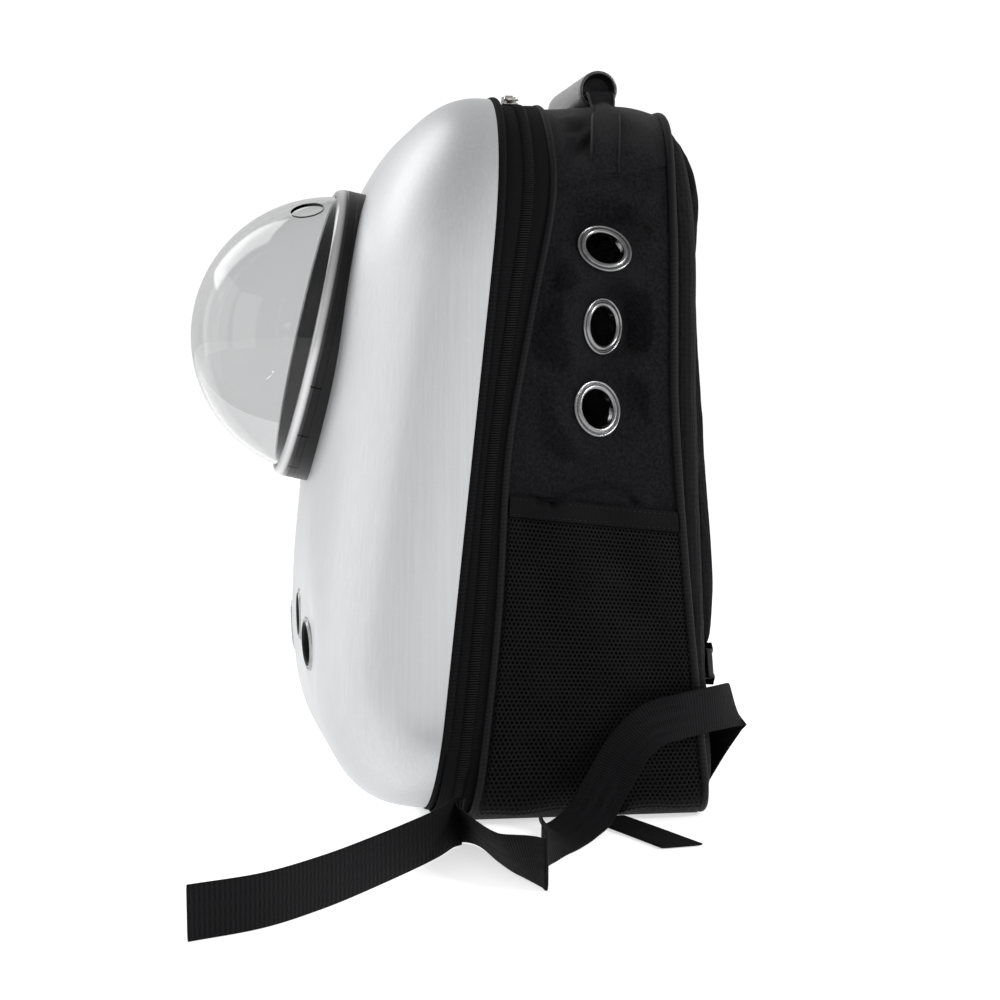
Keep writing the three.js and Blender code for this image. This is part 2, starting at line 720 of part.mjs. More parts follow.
// A plain two-slot adjuster that hangs on the end of a shoulder strap.
function buckle(side) {
  const { width, height, thick, slot, slotLength, bar } = BUCKLE;
  const centre = shoulderLine(side);
  const along = centre.getTangent(1);
  const { across, normal } = strapFrame(along);
  const block = new THREE.BoxGeometry(width, height, thick);
  const slotAt = (up) => new THREE.BoxGeometry(slotLength, slot, thick * 3).translate(0, up, 0);
  const frame = cut(block, [slotAt((bar + slot) / 2), slotAt(-(bar + slot) / 2)]);
  const middle = centre.getPoint(1).addScaledVector(along, height / 2 + GAP);
  const turn = new THREE.Matrix4().makeBasis(across, along, normal.negate());
  return frame.applyMatrix4(turn.setPosition(middle));
}

// A webbing leg of the handle, laid on the top panel from its side seam to the end of the grip.
function handleLeg(side) {
  const topZ = outlineAt(1.5).high;
  const front = pipingY(topZ) + PANELS.frontInset;
  const back = seamY(topZ) - PANELS.backInset;
  const vAt = (y) => PIPING + (y - front) / (back - front);
  const columns = [-0.5, 0, 0.5].map((share) => vAt(GRIP.y + share * WEBBING.width));
  const rows = evenly(0, 1, 9).map((share) => {
    const at = (v, out) => {
      const outline = outlineAt(v);
      const half = stretches(outline).reduce((sum, length) => sum + length);
      const low = lengthAtHeight(outline, PANELS.topSeamZ + GRIP.legEnd);
      const p = outlinePoint(outline, side * lerp(low, half - GRIP.length / 2 - GAP, share));
      const y = lerp(pipingY(p.z) + PANELS.frontInset, seamY(p.z) - PANELS.backInset, v - PIPING);
      return new THREE.Vector3(p.x + p.nx * out, y, p.z + p.nz * out);
    };
    const under = columns.map((v) => at(v, GRIP.legClear));
    const over = columns.map((v) => at(v, GRIP.legClear + WEBBING.thick));
    return [...under, ...over.reverse()];
  });
  return loft(rows);
}

function buildCarrying() {
  const { length, radius, endRadius, y } = GRIP;
  const end = length / 2;
  const roll = lathe(
    [
      [0, -end],
      [endRadius, -end],
      [radius, -end + 7],
      [radius, end - 7],
      [endRadius, end],
      [0, end],
    ],
    14,
  );
  const seat = outlineAt(1.5).high + GAP + radius;
  const alongX = new THREE.Vector3(1, 0, 0);
  addPiece("handle_grip", aimed(roll, new THREE.Vector3(0, y, seat), alongX), BLACK_CLOTH);
  addPiece("handle_leg_right", handleLeg(1), BLACK_CLOTH);
  addPiece("handle_leg_left", handleLeg(-1), BLACK_CLOTH);
  addPiece("shoulder_strap_right", shoulderStrap(1), BLACK_CLOTH);
  addPiece("shoulder_strap_left", shoulderStrap(-1), BLACK_CLOTH);
  addPiece("strap_buckle_right", buckle(1), BLACK_PLASTIC);
  addPiece("strap_buckle_left", buckle(-1), BLACK_PLASTIC);
  addPiece("lower_webbing_right", ribbon(LOOSE_ROUTE, 72), BLACK_CLOTH);
  addPiece("lower_webbing_left", ribbon(LEFT_ROUTE, 10), BLACK_CLOTH);
  addPiece("webbing_end", ribbon(END_ROUTE, 6), BLACK_CLOTH);
}

// Zip slider with its hinged pull

function buildSlider() {
  const { x, length, width, base, lugs, pin, pinClear } = SLIDER;
  const topZ = outlineAt(0.5).high - 1 + COIL.height + GAP;
  const y = (rimY(topZ) + BINDING.depth + pipingY(topZ) - CORD.radius) / 2;
  const pinAt = new THREE.Vector3(x, y, topZ + base + pin + pinClear);
  const alongY = new THREE.Vector3(0, 1, 0);
  const plate = new THREE.BoxGeometry(length, width, base).translate(x, y, topZ + base / 2);
  const lugThick = (width - PULL.width) / 2 - GAP;
  const lug = (side) =>
    new THREE.BoxGeometry(lugs, lugThick, lugs).translate(
      x,
      y + (side * (width - lugThick)) / 2,
      topZ + base + lugs / 2 - GAP,
    );
  const rod = aimed(new THREE.CylinderGeometry(pin, pin, width - 1, 12), pinAt, alongY);
  addPiece("zip_slider", join([plate, lug(1), lug(-1), rod]), DARK_METAL);

  const eyeRadius = pin + GAP;
  const eye = new THREE.CylinderGeometry(eyeRadius + PULL.eye, eyeRadius + PULL.eye, PULL.width, 12);
  const tab = new THREE.BoxGeometry(PULL.length, PULL.width, PULL.thick).translate(PULL.length / 2, 0, 0);
  const bore = new THREE.CylinderGeometry(eyeRadius, eyeRadius, PULL.width + 2, 12);
  const pull = cut(join([eye, tab]), [bore]).rotateY(PULL.droop);
  addPiece("zip_pull", pull.translate(pinAt.x, pinAt.y, pinAt.z), DARK_METAL);
}

buildFront();
buildClosure();
buildBody();
buildCarrying();
buildSlider();

export default model;
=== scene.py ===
import math
from contextlib import contextmanager

import bpy
import numpy as np
from mathutils import Matrix, Vector
from mathutils.bvhtree import BVHTree


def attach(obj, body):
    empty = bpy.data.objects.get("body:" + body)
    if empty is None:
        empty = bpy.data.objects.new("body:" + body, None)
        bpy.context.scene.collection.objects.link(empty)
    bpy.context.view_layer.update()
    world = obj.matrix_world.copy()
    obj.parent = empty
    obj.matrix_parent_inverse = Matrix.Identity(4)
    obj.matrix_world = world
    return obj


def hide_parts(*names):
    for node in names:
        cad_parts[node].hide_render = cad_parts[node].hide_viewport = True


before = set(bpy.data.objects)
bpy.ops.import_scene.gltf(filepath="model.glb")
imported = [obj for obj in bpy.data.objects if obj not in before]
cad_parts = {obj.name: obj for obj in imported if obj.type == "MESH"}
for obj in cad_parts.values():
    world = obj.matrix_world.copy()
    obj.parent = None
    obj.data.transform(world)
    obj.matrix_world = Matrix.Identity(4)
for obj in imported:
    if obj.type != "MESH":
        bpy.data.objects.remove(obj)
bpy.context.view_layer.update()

# Sizes in millimetres
MM = 0.001
OUTLINES = (
    dict(half=160, low=3, high=413.5, top_radius=100, low_radius=56, ease=10),
    dict(half=158, low=0, high=407, top_radius=97, low_radius=28, ease=5),
    dict(half=150, low=0, high=404.5, top_radius=88, low_radius=24, ease=5),
)
RIM, PIPING, SEAM = 0, 1, 2
# The zip runs half way between rim and piping, the handle half way between piping and back seam
ZIP_AT, HANDLE_AT = 0.5, 1.5
CROWN = dict(rise=4, power=1.6)
RIM_LOW_Y, RIM_SLOPE = -89.3, 0.1055
BAND = dict(
    low_y=-65.5, slope=0.117, waist_z=209, waist=6, waist_spread=70, swell_z=354, swell=4, swell_spread=40,
)
BACK_SEAM = dict(y=46, flare_below=244, low_flare=20, flare_power=1.3, lean_above=334, top_lean=8)
SHELL = dict(depth=78, wall=1.8, top_power=2.3, low_power=2.95, middle_z=212)
COLLAR = dict(rise=3.5, reach=22)
WINDOW = dict(y=-134.9, z=274.8, tilt=math.radians(12.4), dome=85, wall=2, dome_at=-2.6)
# crest and bright: how far along the window's axis the painted highlight stripe on the lip lies, and its half
# width
BEZEL = dict(radius=89, bore=85.7, lip=84.2, front=14, back=-9, shoulder=3.4, roll=7, crest=11.4, bright=3)
# Cuts in the bezel's side, at even turns in degrees
NOTCHES = dict(count=7, first=-157.5, step=22.5, size=(2.4, 0.8, 7), up=5.5, bevel=0.15)
AIR_HOLE = dict(radius=10, towards=(35.7, -17.2, 75.2))
# An eyelet, and how far the holes made for it and the painted shade on its inner lip reach past its bore
EYELET = dict(radius=16, bore=10.75, back=-3.2, shell_hole=1.6, cloth_hole=1.9, dark=2.2)
FRONT_VENTS = ((-60, 93), (0, 105), (60, 93))
# How far the eyelets stand off the shell and off the cloth
FRONT_LIFT, SIDE_LIFT = -0.6, 0.5
# The shell turns outwards a little around its outer vents
FRONT_SEAT = dict(reach=38, turn=math.radians(5.5))
# y, z and the turns upwards and towards the back, in degrees
SIDE_VENTS = ((6, 320, 32, 4), (5, 277, 0, 33), (2, 231, 10, 22))
VENT_SEAT, VENT_REACH = 17, 34
TUCK = 0.035
SEAM_ROWS = (3, 7.5)
# y, z, angle, length, width and depth of the creases of a side; a negative depth stands out
CREASES = (
    (26, 345, 54, 22, 5, 1),
    (-15, 275, 50, 20, 5, 1.7),
    (-22, 322, 100, 30, 7, 1.6),
    (28, 246, 70, 36, 8, 1.5),
    (0, 193, 8, 45, 8, 2.5),
    (31, 312, 88, 40, 4, 1.6),
    (38, 330, 86, 34, 5, -1.4),
    (-26, 290, 62, 22, 4, 1.6),
    (-9, 345, 20, 18, 4, 1.4),
    (18, 296, 35, 14, 3.5, 1.3),
    (-14, 250, 125, 16, 4, 1.2),
    (32, 216, 96, 30, 4, 1.5),
    (3, 181, 0, 20, 7, -2.6),
    (-2, 392, 27, 10, 2.5, 2.4),
    (-4, 398, 20, 9, 2.2, -2),
    (2, 382, 40, 9, 2.5, 2.2),
    (-8, 376, 60, 12, 3, 1.9),
    (22, 359, 80, 5, 1.6, 1),
    (28, 358, 95, 5, 1.6, 1),
    (35, 359, 85, 5, 1.6, 1),
)
# Sharp folds: how deep, or proud when below 0, then a line of y and z
FOLDS = (
    (3, ((-23, 178), (-15, 184), (-4, 188), (7, 189), (17, 185.5), (26, 178))),
    (3, ((-47, 184), (-40, 184.5), (-30, 180), (-23, 179))),
    (-1.4, ((33, 353), (26, 345), (19, 336))),
    (-1.2, ((-40, 268), (-26, 276), (-12, 287))),
)
FOLD_WIDTH = 1.8
# Angle, wave length, phase and height of the cloth's soft unevenness
RIPPLES = ((25, 46, 0.3, 0.7), (112, 31, 1.9, 0.5), (68, 23, 4.1, 0.32), (150, 37, 2.6, 0.45))
PANELS = dict(base_z=7, top_z=361, top_rise=13, level_at=0.45, front_inset=2.9, back_inset=0.4)
POCKET = dict(low=5, front_top=183, back_top=173, slack=2.6, fold=1.0, clear=0.7)
NET = dict(columns=44, rows=70, hole=0.66, out=0.4, thick=0.5)
HEM = dict(width=11, out=0.5, swell=0.7, thick=1.4, rows=(0.14, 0.86))
BINDING = dict(depth=5, proud=1.2, thick=3.6)
# Section of the zip's two tapes: share of the way back over the band, and how far out
TAPE_SECTION = (
    (0, 0.1), (0.04, 0.5), (0.3, 0.5), (0.335, 0.25), (0.5, 0.2), (0.665, 0.25),
    (0.7, 0.5), (0.96, 0.5), (1, 0.1), (1, -1.2), (0.5, -1.6), (0, -1.2),
)
# How far inside the outline the tapes lie
TAPE_SUNK = 1
COIL = dict(length=6.4, share=0.84, thick=1.5, lift=0.7, height=1.7, pitch=1.4)
CORD = dict(radius=2.2, out=0.9)
WELT = dict(radius=2.6, out=-0.3, back=1.9)
CLOTH = dict(side=1.4, base=1.6)
GAP = 0.3
GRIP = dict(length=114, radius=11.5, y=23)
LEG = dict(top=17, low=17.4, thick=1.8, clear=1.5, reach=15, curl=5, hem=1.0, waist=0.38, drift=13, sunk=3.2)
# Steps past the grip's end and up from its axis of the leg's bend, and shares across it of its stitches
LEG_BEND = ((-4, -2.5), (2.5, -3), (6.5, -6.5), (9.5, -9.5))
LEG_SEAMS = (0.12, 0.88)
# Points along a leg
LEG_STEPS = 90
# Voxel size, pressure and most swelling of the padded pieces
BACK_FILL, STRAP_FILL = (5.0, 3.0, 2.2), (3.5, 4.0, 3.0)
WEBBING = dict(width=25, thick=1.5, floor_gap=0.5)
SHOULDER_ROUTE = (
    (48, 67.3, 390), (52, 74.3, 366), (59, 72.3, 336), (70, 69.1, 294),
    (90, 69.6, 209), (103, 72, 139), (108, 74.4, 92),
)
BUCKLE = dict(width=33, height=17, thick=3.6, slot=3.4, slot_length=26, slot_cut=50, bar=3.2, bevel=0.8)
# Steps down the strap and off the adjuster's middle of the webbing threaded through its slots
ADJUSTER_LOOP = ((-3, -2.3), (1.8, -2.7), (5.5, 0), (8.8, 2.7), (12.1, 0), (15.8, -2.7), (21, -1.5))
SLIDER = dict(x=48, length=12, width=9, base=2, lugs=3.6, pin=0.8, pin_clear=1.4)
PULL = dict(length=24, width=4.4, thick=1.4, droop=math.radians(8))
# Places on the webbings' centre lines, each with the direction across the width
LOOSE_ROUTE = (
    ((106, 74.3, 20), (-0.85, 0, 0.5)), ((113, 80, 38), (-0.7, -0.2, 0.65)),
    ((118, 86, 54), (-0.25, -0.35, 0.9)), ((121.5, 89, 59), (0, -0.35, 1)),
    ((128, 88, 61.5), (0, -0.3, 1)), ((150, 73, 63), (0, -0.12, 1)),
    ((168, 48, 61), (-0.1, 0, 1)), ((174, 30, 57), (-0.35, -0.4, 1)),
    ((178, 14, 43), (-0.6, -0.9, 0.6)), ((181, 3, 25), (-0.3, -1, 0.3)),
    ((186, -6, 12), (-0.25, -1, 0.3)), ((199, -17, 6.5), (-0.3, -0.95, 0.35)),
    ((217, -27, 6), (-0.35, -0.85, 0.42)), ((245, -38, 11.2), (-0.2, -0.5, 0.8)),
    ((285, -49.5, 13), (0, 0, 1)), ((323, -53.8, 13), (0, 0, 1)),
    ((330, -55.5, 13), (0, 0, 1)), ((323, -57.2, 12.8), (0, -0.1, 1)),
    ((293, -68.2, 11), (0, -0.5, 0.87)), ((259, -73.2, 11), (0, -0.5, 0.87)),
    ((215, -76.8, 11), (0, -0.5, 0.87)), ((203, -80, 11.6), (0, -0.35, 0.93)),
    ((211, -85, 12.7), (0, -0.1, 1)), ((238, -96, 13), (0, 0, 1)),
    ((304, -133, 13), (0, 0, 1)), ((357, -166.5, 13), (0, 0, 1)),
    ((392.5, -196, 13), (0, 0, 1)), ((413.5, -228.5, 13), (0, -0.08, 1)),
)
TAIL_ROUTE = (
    ((141.6, 10.5, 1.3), (-0.2, 1, 0)), ((179, 20.7, 1.3), (-0.22, 1, 0)), ((230.5, 34, 1.3), (-0.22, 1, 0)),
)
LEFT_ROUTE = (
    ((-100, 74.4, 20), (1, 0, 0.4)), ((-108, 76.6, 38), (1, 0, 0.2)),
    ((-110.6, 77.9, 57), (1, 0, -0.1)), ((-109.2, 77.2, 73.2), (1, 0, -0.1)),
)

# Camera and studio, in metres
BACKDROP = 1.05
# The room's brightness from its white side behind the object to its side towards the camera:
# the two directions' X, then the brightness at each
ROOM = (-0.45, 0.15, 0.71, 0.56)
# A share of that, from low directions up to overhead, where it is darker: their Z, then the shares
OVERHEAD = (0.25, 1.0, 1.0, 0.62)
# Name, place, size and power of the lamps, which all point at one spot
LAMPS = (
    ("over_light", (-1.25, -1.3, 1.6), (0.9, 1.4), 7),
    ("front_light", (-0.9, -2.1, 0.6), (1.4, 1.6), 4),
    ("edge_light", (0.35, -2.0, 0.5), (0.8, 1.4), 2.6),
    ("rake_light", (1.2, 1.75, 1.35), (0.4, 0.6), 24),
)
LAMP_AIM = Vector((0, -0.02, 0.2))
FLOOR_SIZE = 14
CAMERA = dict(
    swing=math.radians(8.6), distance=1.5, target_y=-0.028, height=0.241, lens=87.5, sensor=36, shift=-0.109,
)


def set_camera():
    swing = CAMERA["swing"]
    bpy.ops.object.camera_add()
    camera = bpy.context.object
    camera.location = (
        CAMERA["distance"] * math.cos(swing),
        CAMERA["target_y"] - CAMERA["distance"] * math.sin(swing),
        CAMERA["height"],
    )
    ahead = Vector((-math.cos(swing), math.sin(swing), 0))
    camera.rotation_euler = ahead.to_track_quat("-Z", "Y").to_euler()
    camera.data.lens = CAMERA["lens"]
    camera.data.sensor_width = CAMERA["sensor"]
    camera.data.shift_y = CAMERA["shift"]
    bpy.context.scene.camera = camera


def soft_box(name, place, size, power):
    bpy.ops.object.light_add(type="AREA", location=place)
    lamp = bpy.context.object
    lamp.name = name
    lamp.data.shape = "RECTANGLE"
    lamp.data.size, lamp.data.size_y = size
    lamp.data.energy = power
    lamp.visible_camera = False
    aim = LAMP_AIM - Vector(place)
    lamp.rotation_euler = aim.to_track_quat("-Z", "Y").to_euler()


def set_studio():
    scene = bpy.context.scene
    scene.view_settings.view_transform = "Standard"
    world = bpy.data.worlds.new("studio")
    world.use_nodes = True
    scene.world = world
    tree = world.node_tree
    ground = tree.nodes["Background"]
    where = tree.nodes.new("ShaderNodeTexCoord")
    split = tree.nodes.new("ShaderNodeSeparateXYZ")
    tree.links.new(where.outputs["Generated"], split.inputs[0])
    room = tree.nodes.new("ShaderNodeMath")
    room.operation = "MULTIPLY"
    for n, (axis, limits) in enumerate((("X", ROOM), ("Z", OVERHEAD))):
        change = tree.nodes.new("ShaderNodeMapRange")
        change.interpolation_type = "SMOOTHSTEP"
        for socket, value in zip(("From Min", "From Max", "To Min", "To Max"), limits):
            change.inputs[socket].default_value = value
        tree.links.new(split.outputs[axis], change.inputs["Value"])
        tree.links.new(change.outputs["Result"], room.inputs[n])
    path = tree.nodes.new("ShaderNodeLightPath")
    level = tree.nodes.new("ShaderNodeMapRange")
    level.inputs["To Max"].default_value = BACKDROP
    tree.links.new(path.outputs["Is Camera Ray"], level.inputs["Value"])
    tree.links.new(room.outputs["Value"], level.inputs["To Min"])
    tree.links.new(level.outputs["Result"], ground.inputs["Strength"])
    ground.inputs["Color"].default_value = (1, 1, 1, 1)
    for lamp in LAMPS:
        soft_box(*lamp)
    bpy.ops.mesh.primitive_plane_add(size=FLOOR_SIZE)
    floor = bpy.context.object
    floor.name = "studio_floor"
    floor.data.materials.append(pale_floor())


# Finishes


class Wire:
    """An output in a finish. Sums of wires and numbers add Math nodes to the finish."""

    def __init__(self, finish, socket):
        self.finish, self.socket = finish, socket

    def sum(self, operation, first, second=0.0):
        return self.finish.node("ShaderNodeMath", {"operation": operation}, {0: first, 1: second})

    def __add__(self, other):
        return self.sum("ADD", self, other)

    __radd__ = __add__

    def __sub__(self, other):
        return self.sum("SUBTRACT", self, other)

    def __rsub__(self, other):
        return self.sum("SUBTRACT", other, self)

    def __mul__(self, other):
        return self.sum("MULTIPLY", self, other)

    __rmul__ = __mul__

    def __pow__(self, other):
        return self.sum("POWER", self, other)

    def sine(self):
        return self.sum("SINE", self)


class Finish:
    """A material of nodes that feed its one shader. Even values are set on the shader's own sockets."""

    def __init__(self, name, **even):
        self.material = bpy.data.materials.new(name)
        self.material.use_nodes = True
        self.tree = self.material.node_tree
        self.shader = self.tree.nodes["Principled BSDF"]
        for socket, value in even.items():
            self.shader.inputs[socket.replace("_", " ")].default_value = value

    def node(self, kind, settings=None, inputs=None, output=0):
        made = self.tree.nodes.new(kind)
        for key, value in (settings or {}).items():
            setattr(made, key, value)
        for key, value in (inputs or {}).items():
            self.join(value, made.inputs[key])
        return Wire(self, made.outputs[output])

    def join(self, value, socket):
        if isinstance(value, Wire):
            self.tree.links.new(value.socket, socket)
        else:
            socket.default_value = value

    def feed(self, **inputs):
        for socket, value in inputs.items():
            self.join(value, self.shader.inputs[socket.replace("_", " ")])
        return self.material

    def place(self):
        return self.node("ShaderNodeTexCoord", output="Object")

    def cloth(self):
        """Lengths along the piece's own map, in metres."""
        return self.parts(self.node("ShaderNodeUVMap", {"uv_map": "cloth"}))

    def parts(self, vector):
        return [self.node("ShaderNodeSeparateXYZ", None, {0: vector}, output=axis) for axis in range(3)]

    def scaled(self, vector, scale):
        return self.node("ShaderNodeMapping", None, {"Vector": vector, "Scale": scale})

    def grain(self, vector, scale, detail=2.0, roughness=0.5):
        values = {"Vector": vector, "Scale": scale, "Detail": detail, "Roughness": roughness}
        return self.node("ShaderNodeTexNoise", None, values)

    def tint(self, share, dark, light):
        return self.node(
            "ShaderNodeMix", {"data_type": "RGBA"}, {0: share, 6: (*dark, 1), 7: (*light, 1)}, output=2
        )

    def relief(self, height, depth, strength=1.0):
        return self.node("ShaderNodeBump", None, {"Height": height, "Distance": depth, "Strength": strength})


TURN = 2 * math.pi


def pale_floor():
    f = Finish("pale_floor", Roughness=0.9, Specular_IOR_Level=0.1, Emission_Strength=0.62)
    mottle = f.grain(f.place(), 3.0, 3.0)
    seen = f.node("ShaderNodeLightPath", output="Is Camera Ray")
    return f.feed(
        Base_Color=f.tint(mottle, (0.9, 0.9, 0.9), (0.93, 0.93, 0.93)),
        Emission_Color=f.tint(seen, (0.72, 0.72, 0.72), (1, 1, 1)),
    )


def silver_paint():
    f = Finish("silver_paint", Metallic=0.72, Coat_Roughness=0.2, Coat_IOR=1.45)
    where = f.place()
    streak = f.grain(f.scaled(where, (620, 620, 9)), 1.0, 3.0, 0.6)
    flake = f.grain(where, 1300, 2.0, 0.8)
    share = streak * 0.55 + flake * 0.45
    return f.feed(
        Base_Color=f.tint(share, (0.56, 0.57, 0.585), (0.8, 0.805, 0.815)),
        Roughness=0.4 + 0.12 * share,
        Coat_Weight=0.25 + 0.1 * streak,
        Normal=f.relief(share, 0.00003, 0.5),
    )


# Dark lining of the shell's inside; the same finish is also put as painted shade in the front eyelets' holes
# and the grip's hollow ends
def lining_and_painted_shade():
    f = Finish("lining_and_painted_shade", Specular_IOR_Level=0.3)
    speck = f.grain(f.place(), 900, 3.0)
    return f.feed(
        Base_Color=f.tint(speck, (0.005, 0.005, 0.0055), (0.011, 0.011, 0.0115)),
        Roughness=0.55 + 0.2 * speck,
        Normal=f.relief(speck, 0.00006, 0.3),
    )


def clear_acrylic():
    f = Finish("clear_acrylic", Transmission_Weight=1.0, IOR=1.4, Base_Color=(0.88, 0.883, 0.888, 1))
    haze = f.grain(f.place(), 26, 4.0)
    return f.feed(Roughness=0.006 + 0.02 * haze ** 3)


def satin_plastic(name, dark, light, rough, grain_scale=1500, grain_depth=0.00006, shine=0.5):
    f = Finish(name, Specular_IOR_Level=shine)
    where = f.place()
    grain = f.grain(where, grain_scale, 2.0)
    wear = f.grain(where, 45, 4.0)
    return f.feed(
        Base_Color=f.tint(wear, dark, light),
        Roughness=rough + 0.16 * wear,
        Normal=f.relief(grain, grain_depth, 0.5),
    )


def painted_edge_highlight():
    """The window ring's rolled lip, with a painted highlight: a bright stripe in its colour along its crest.
    """
    f = Finish("bezel_painted_highlight", Metallic=0.8)
    where = f.place()
    _, y, z = f.parts(where)
    tilt = WINDOW["tilt"]
    along = (z - WINDOW["z"] * MM) * math.sin(tilt) - (y - WINDOW["y"] * MM) * math.cos(tilt)
    off = (along - BEZEL["crest"] * MM) * (1 / (BEZEL["bright"] * MM))
    wear = f.grain(where, 160, 4.0)
    return f.feed(
        Base_Color=f.tint(1 - off * off, (0.05, 0.05, 0.052), (0.74, 0.74, 0.75)),
        Roughness=0.16 + 0.14 * wear,
        Normal=f.relief(wear, 0.00004, 0.3),
    )


def bright_metal(name, dark, light, rough):
    f = Finish(name, Metallic=1.0)
    where = f.place()
    scratch = f.grain(f.scaled(where, (900, 900, 160)), 1.0, 3.0)
    tarnish = f.grain(where, 160, 4.0)
    return f.feed(
        Base_Color=f.tint(tarnish, dark, light),
        Roughness=rough + 0.16 * scratch,
        Normal=f.relief(scratch, 0.00004, 0.4),
    )


def oxford_cloth():
    """Plain weave of uneven yarns, with a faint sheen."""
    f = Finish("oxford_cloth", Specular_IOR_Level=0.16, Sheen_Weight=0.004, Sheen_Roughness=0.4)
    across, along, _ = f.cloth()
    pitch = 0.00085
    weave = (across * (TURN / pitch)).sine() * (along * (TURN / pitch)).sine()
    slub = f.grain(f.place(), 640, 3.0, 0.7)
    wash = f.grain(f.place(), 22, 4.0)
    height = weave * 0.5 + slub * 0.9
    yarn = (slub - 0.38) * 3.4 + 0.25 * weave + 0.15 * wash
    return f.feed(
        Base_Color=f.tint(yarn, (0.0002, 0.0002, 0.0005), (0.0155, 0.0156, 0.019)),
        Roughness=0.4 + 0.2 * wash + 0.08 * weave,
        Normal=f.relief(height, 0.0006, 0.9),
    )


def ribbed_cloth(name, rib, thread, dark, light, depth, rough=0.62, shine=0.1):
    """Woven tape: ribs across the tape, threads along it."""
    f = Finish(name, Specular_IOR_Level=shine, Sheen_Weight=0.004, Sheen_Roughness=0.4)
    across, along, _ = f.cloth()
    ribs = (along * (TURN / rib)).sine()
    threads = (across * (TURN / thread)).sine()
    lint = f.grain(f.place(), 500, 3.0)
    height = ribs * 0.5 + ribs * threads * 0.35 + lint * 0.4
    return f.feed(
        Base_Color=f.tint(0.3 + 0.28 * ribs + 0.5 * lint, dark, light),
        Roughness=rough + 0.2 * lint,
        Normal=f.relief(height, depth, 0.8),
    )


def padding_cloth():
    """Spacer knit: a honeycomb of small dimples."""
    f = Finish("padding_cloth", Specular_IOR_Level=0.1, Sheen_Weight=0.004, Sheen_Roughness=0.4)
    where = f.place()
    spacing = {"Vector": where, "Scale": 330, "Randomness": 0.25}
    cells = f.node("ShaderNodeTexVoronoi", {"feature": "F1"}, spacing)
    dimple = cells * 1.6
    lint = f.grain(where, 700, 3.0)
    return f.feed(
        Base_Color=f.tint(dimple * 0.8 + lint * 0.3, (0.0015, 0.0015, 0.0018), (0.007, 0.007, 0.008)),
        Roughness=0.7 + 0.2 * lint,
        Normal=f.relief(dimple + lint * 0.3, 0.0006, 0.8),
    )


def leatherette():
    f = Finish("leatherette", Specular_IOR_Level=0.9, Coat_Weight=0.6, Coat_Roughness=0.2)
    where = f.place()
    pebble = f.node("ShaderNodeTexVoronoi", {"feature": "SMOOTH_F1"}, {"Vector": where, "Scale": 1100})
    crease = f.grain(f.scaled(where, (30, 120, 120)), 1.0, 4.0)
    return f.feed(
        Base_Color=f.tint(crease, (0.006, 0.006, 0.0065), (0.015, 0.015, 0.0155)),
        Roughness=0.2 + 0.2 * crease,
        Normal=f.relief(pebble * 0.4 + crease * 1.5, 0.0011, 0.8),
    )


# Making and finishing pieces


def take(piece):
    bpy.ops.object.select_all(action="DESELECT")
    piece.select_set(True)
    bpy.context.view_layer.objects.active = piece
    return piece


def named(name):
    piece = bpy.context.object
    piece.name = piece.data.name = name
    return piece


@contextmanager
def editing(piece):
    take(piece)
    bpy.ops.object.mode_set(mode="EDIT")
    bpy.ops.mesh.select_all(action="SELECT")
    yield
    bpy.ops.object.mode_set(mode="OBJECT")


def weld(piece):
    with editing(piece):
        bpy.ops.mesh.remove_doubles(threshold=2e-6)
        bpy.ops.mesh.normals_make_consistent(inside=False)
    return piece


def modify(piece, kind, **settings):
    take(piece)
    modifier = piece.modifiers.new(kind.lower(), kind)
    for key, value in settings.items():
        setattr(modifier, key, value)
    bpy.ops.object.modifier_apply(modifier=modifier.name)
    return piece


def thicken(piece, thick, offset=-1.0, **settings):
    return modify(piece, "SOLIDIFY", thickness=thick * MM, offset=offset, **settings)


def smooth(piece, angle=None):
    take(piece)
    if angle is None:
        bpy.ops.object.shade_smooth()
    else:
        bpy.ops.object.shade_smooth_by_angle(angle=math.radians(angle))
    return piece


def cut_with(piece, cutters):
    for cutter in cutters:
        modify(piece, "BOOLEAN", operation="DIFFERENCE", solver="EXACT", object=cutter)
        bpy.data.objects.remove(cutter)
    return piece


def coords(piece):
    found = np.empty((len(piece.data.vertices), 3), np.float32)
    piece.data.vertices.foreach_get("co", found.ravel())
    return found.astype(float)


def put_coords(piece, places):
    piece.data.vertices.foreach_set("co", np.ascontiguousarray(places, np.float32).ravel())
    piece.data.update()


def face_places(piece, point, axis):
    """How far a piece's faces lie along an axis through a point, and away from it, in millimetres."""
    away = np.array([p.center for p in piece.data.polygons]) / MM - point
    deep = away @ axis
    return deep, np.linalg.norm(away - deep[:, None] * axis, axis=1)


def two_finishes(piece, main, other, chosen):
    """Puts a second finish on the chosen faces."""
    piece.data.materials.append(main)
    piece.data.materials.append(other)
    piece.data.polygons.foreach_set("material_index", chosen.astype(np.int32))


def turn_over(piece):
    with editing(piece):
        bpy.ops.mesh.flip_normals()


def built(name, places, faces):
    mesh = bpy.data.meshes.new(name)
    mesh.from_pydata(places, [], faces)
    piece = bpy.data.objects.new(name, mesh)
    bpy.context.scene.collection.objects.link(piece)
    return piece


def spread(name, columns, rows, place, size):
    """A grid with its points at place(across, along), in millimetres, and mapped as a cloth of that size."""
    bpy.ops.mesh.primitive_grid_add(x_subdivisions=columns, y_subdivisions=rows, size=2)
    piece = named(name)
    flat = coords(piece)
    put_coords(piece, place((flat[:, 0] + 1) / 2, (flat[:, 1] + 1) / 2) * MM)
    layer = piece.data.uv_layers.active
    layer.name = "cloth"
    lengths = np.empty(len(layer.uv) * 2, np.float32)
    layer.uv.foreach_get("vector", lengths)
    layer.uv.foreach_set("vector", (lengths.reshape(-1, 2) * np.array(size) * MM).astype(np.float32).ravel())
    return piece


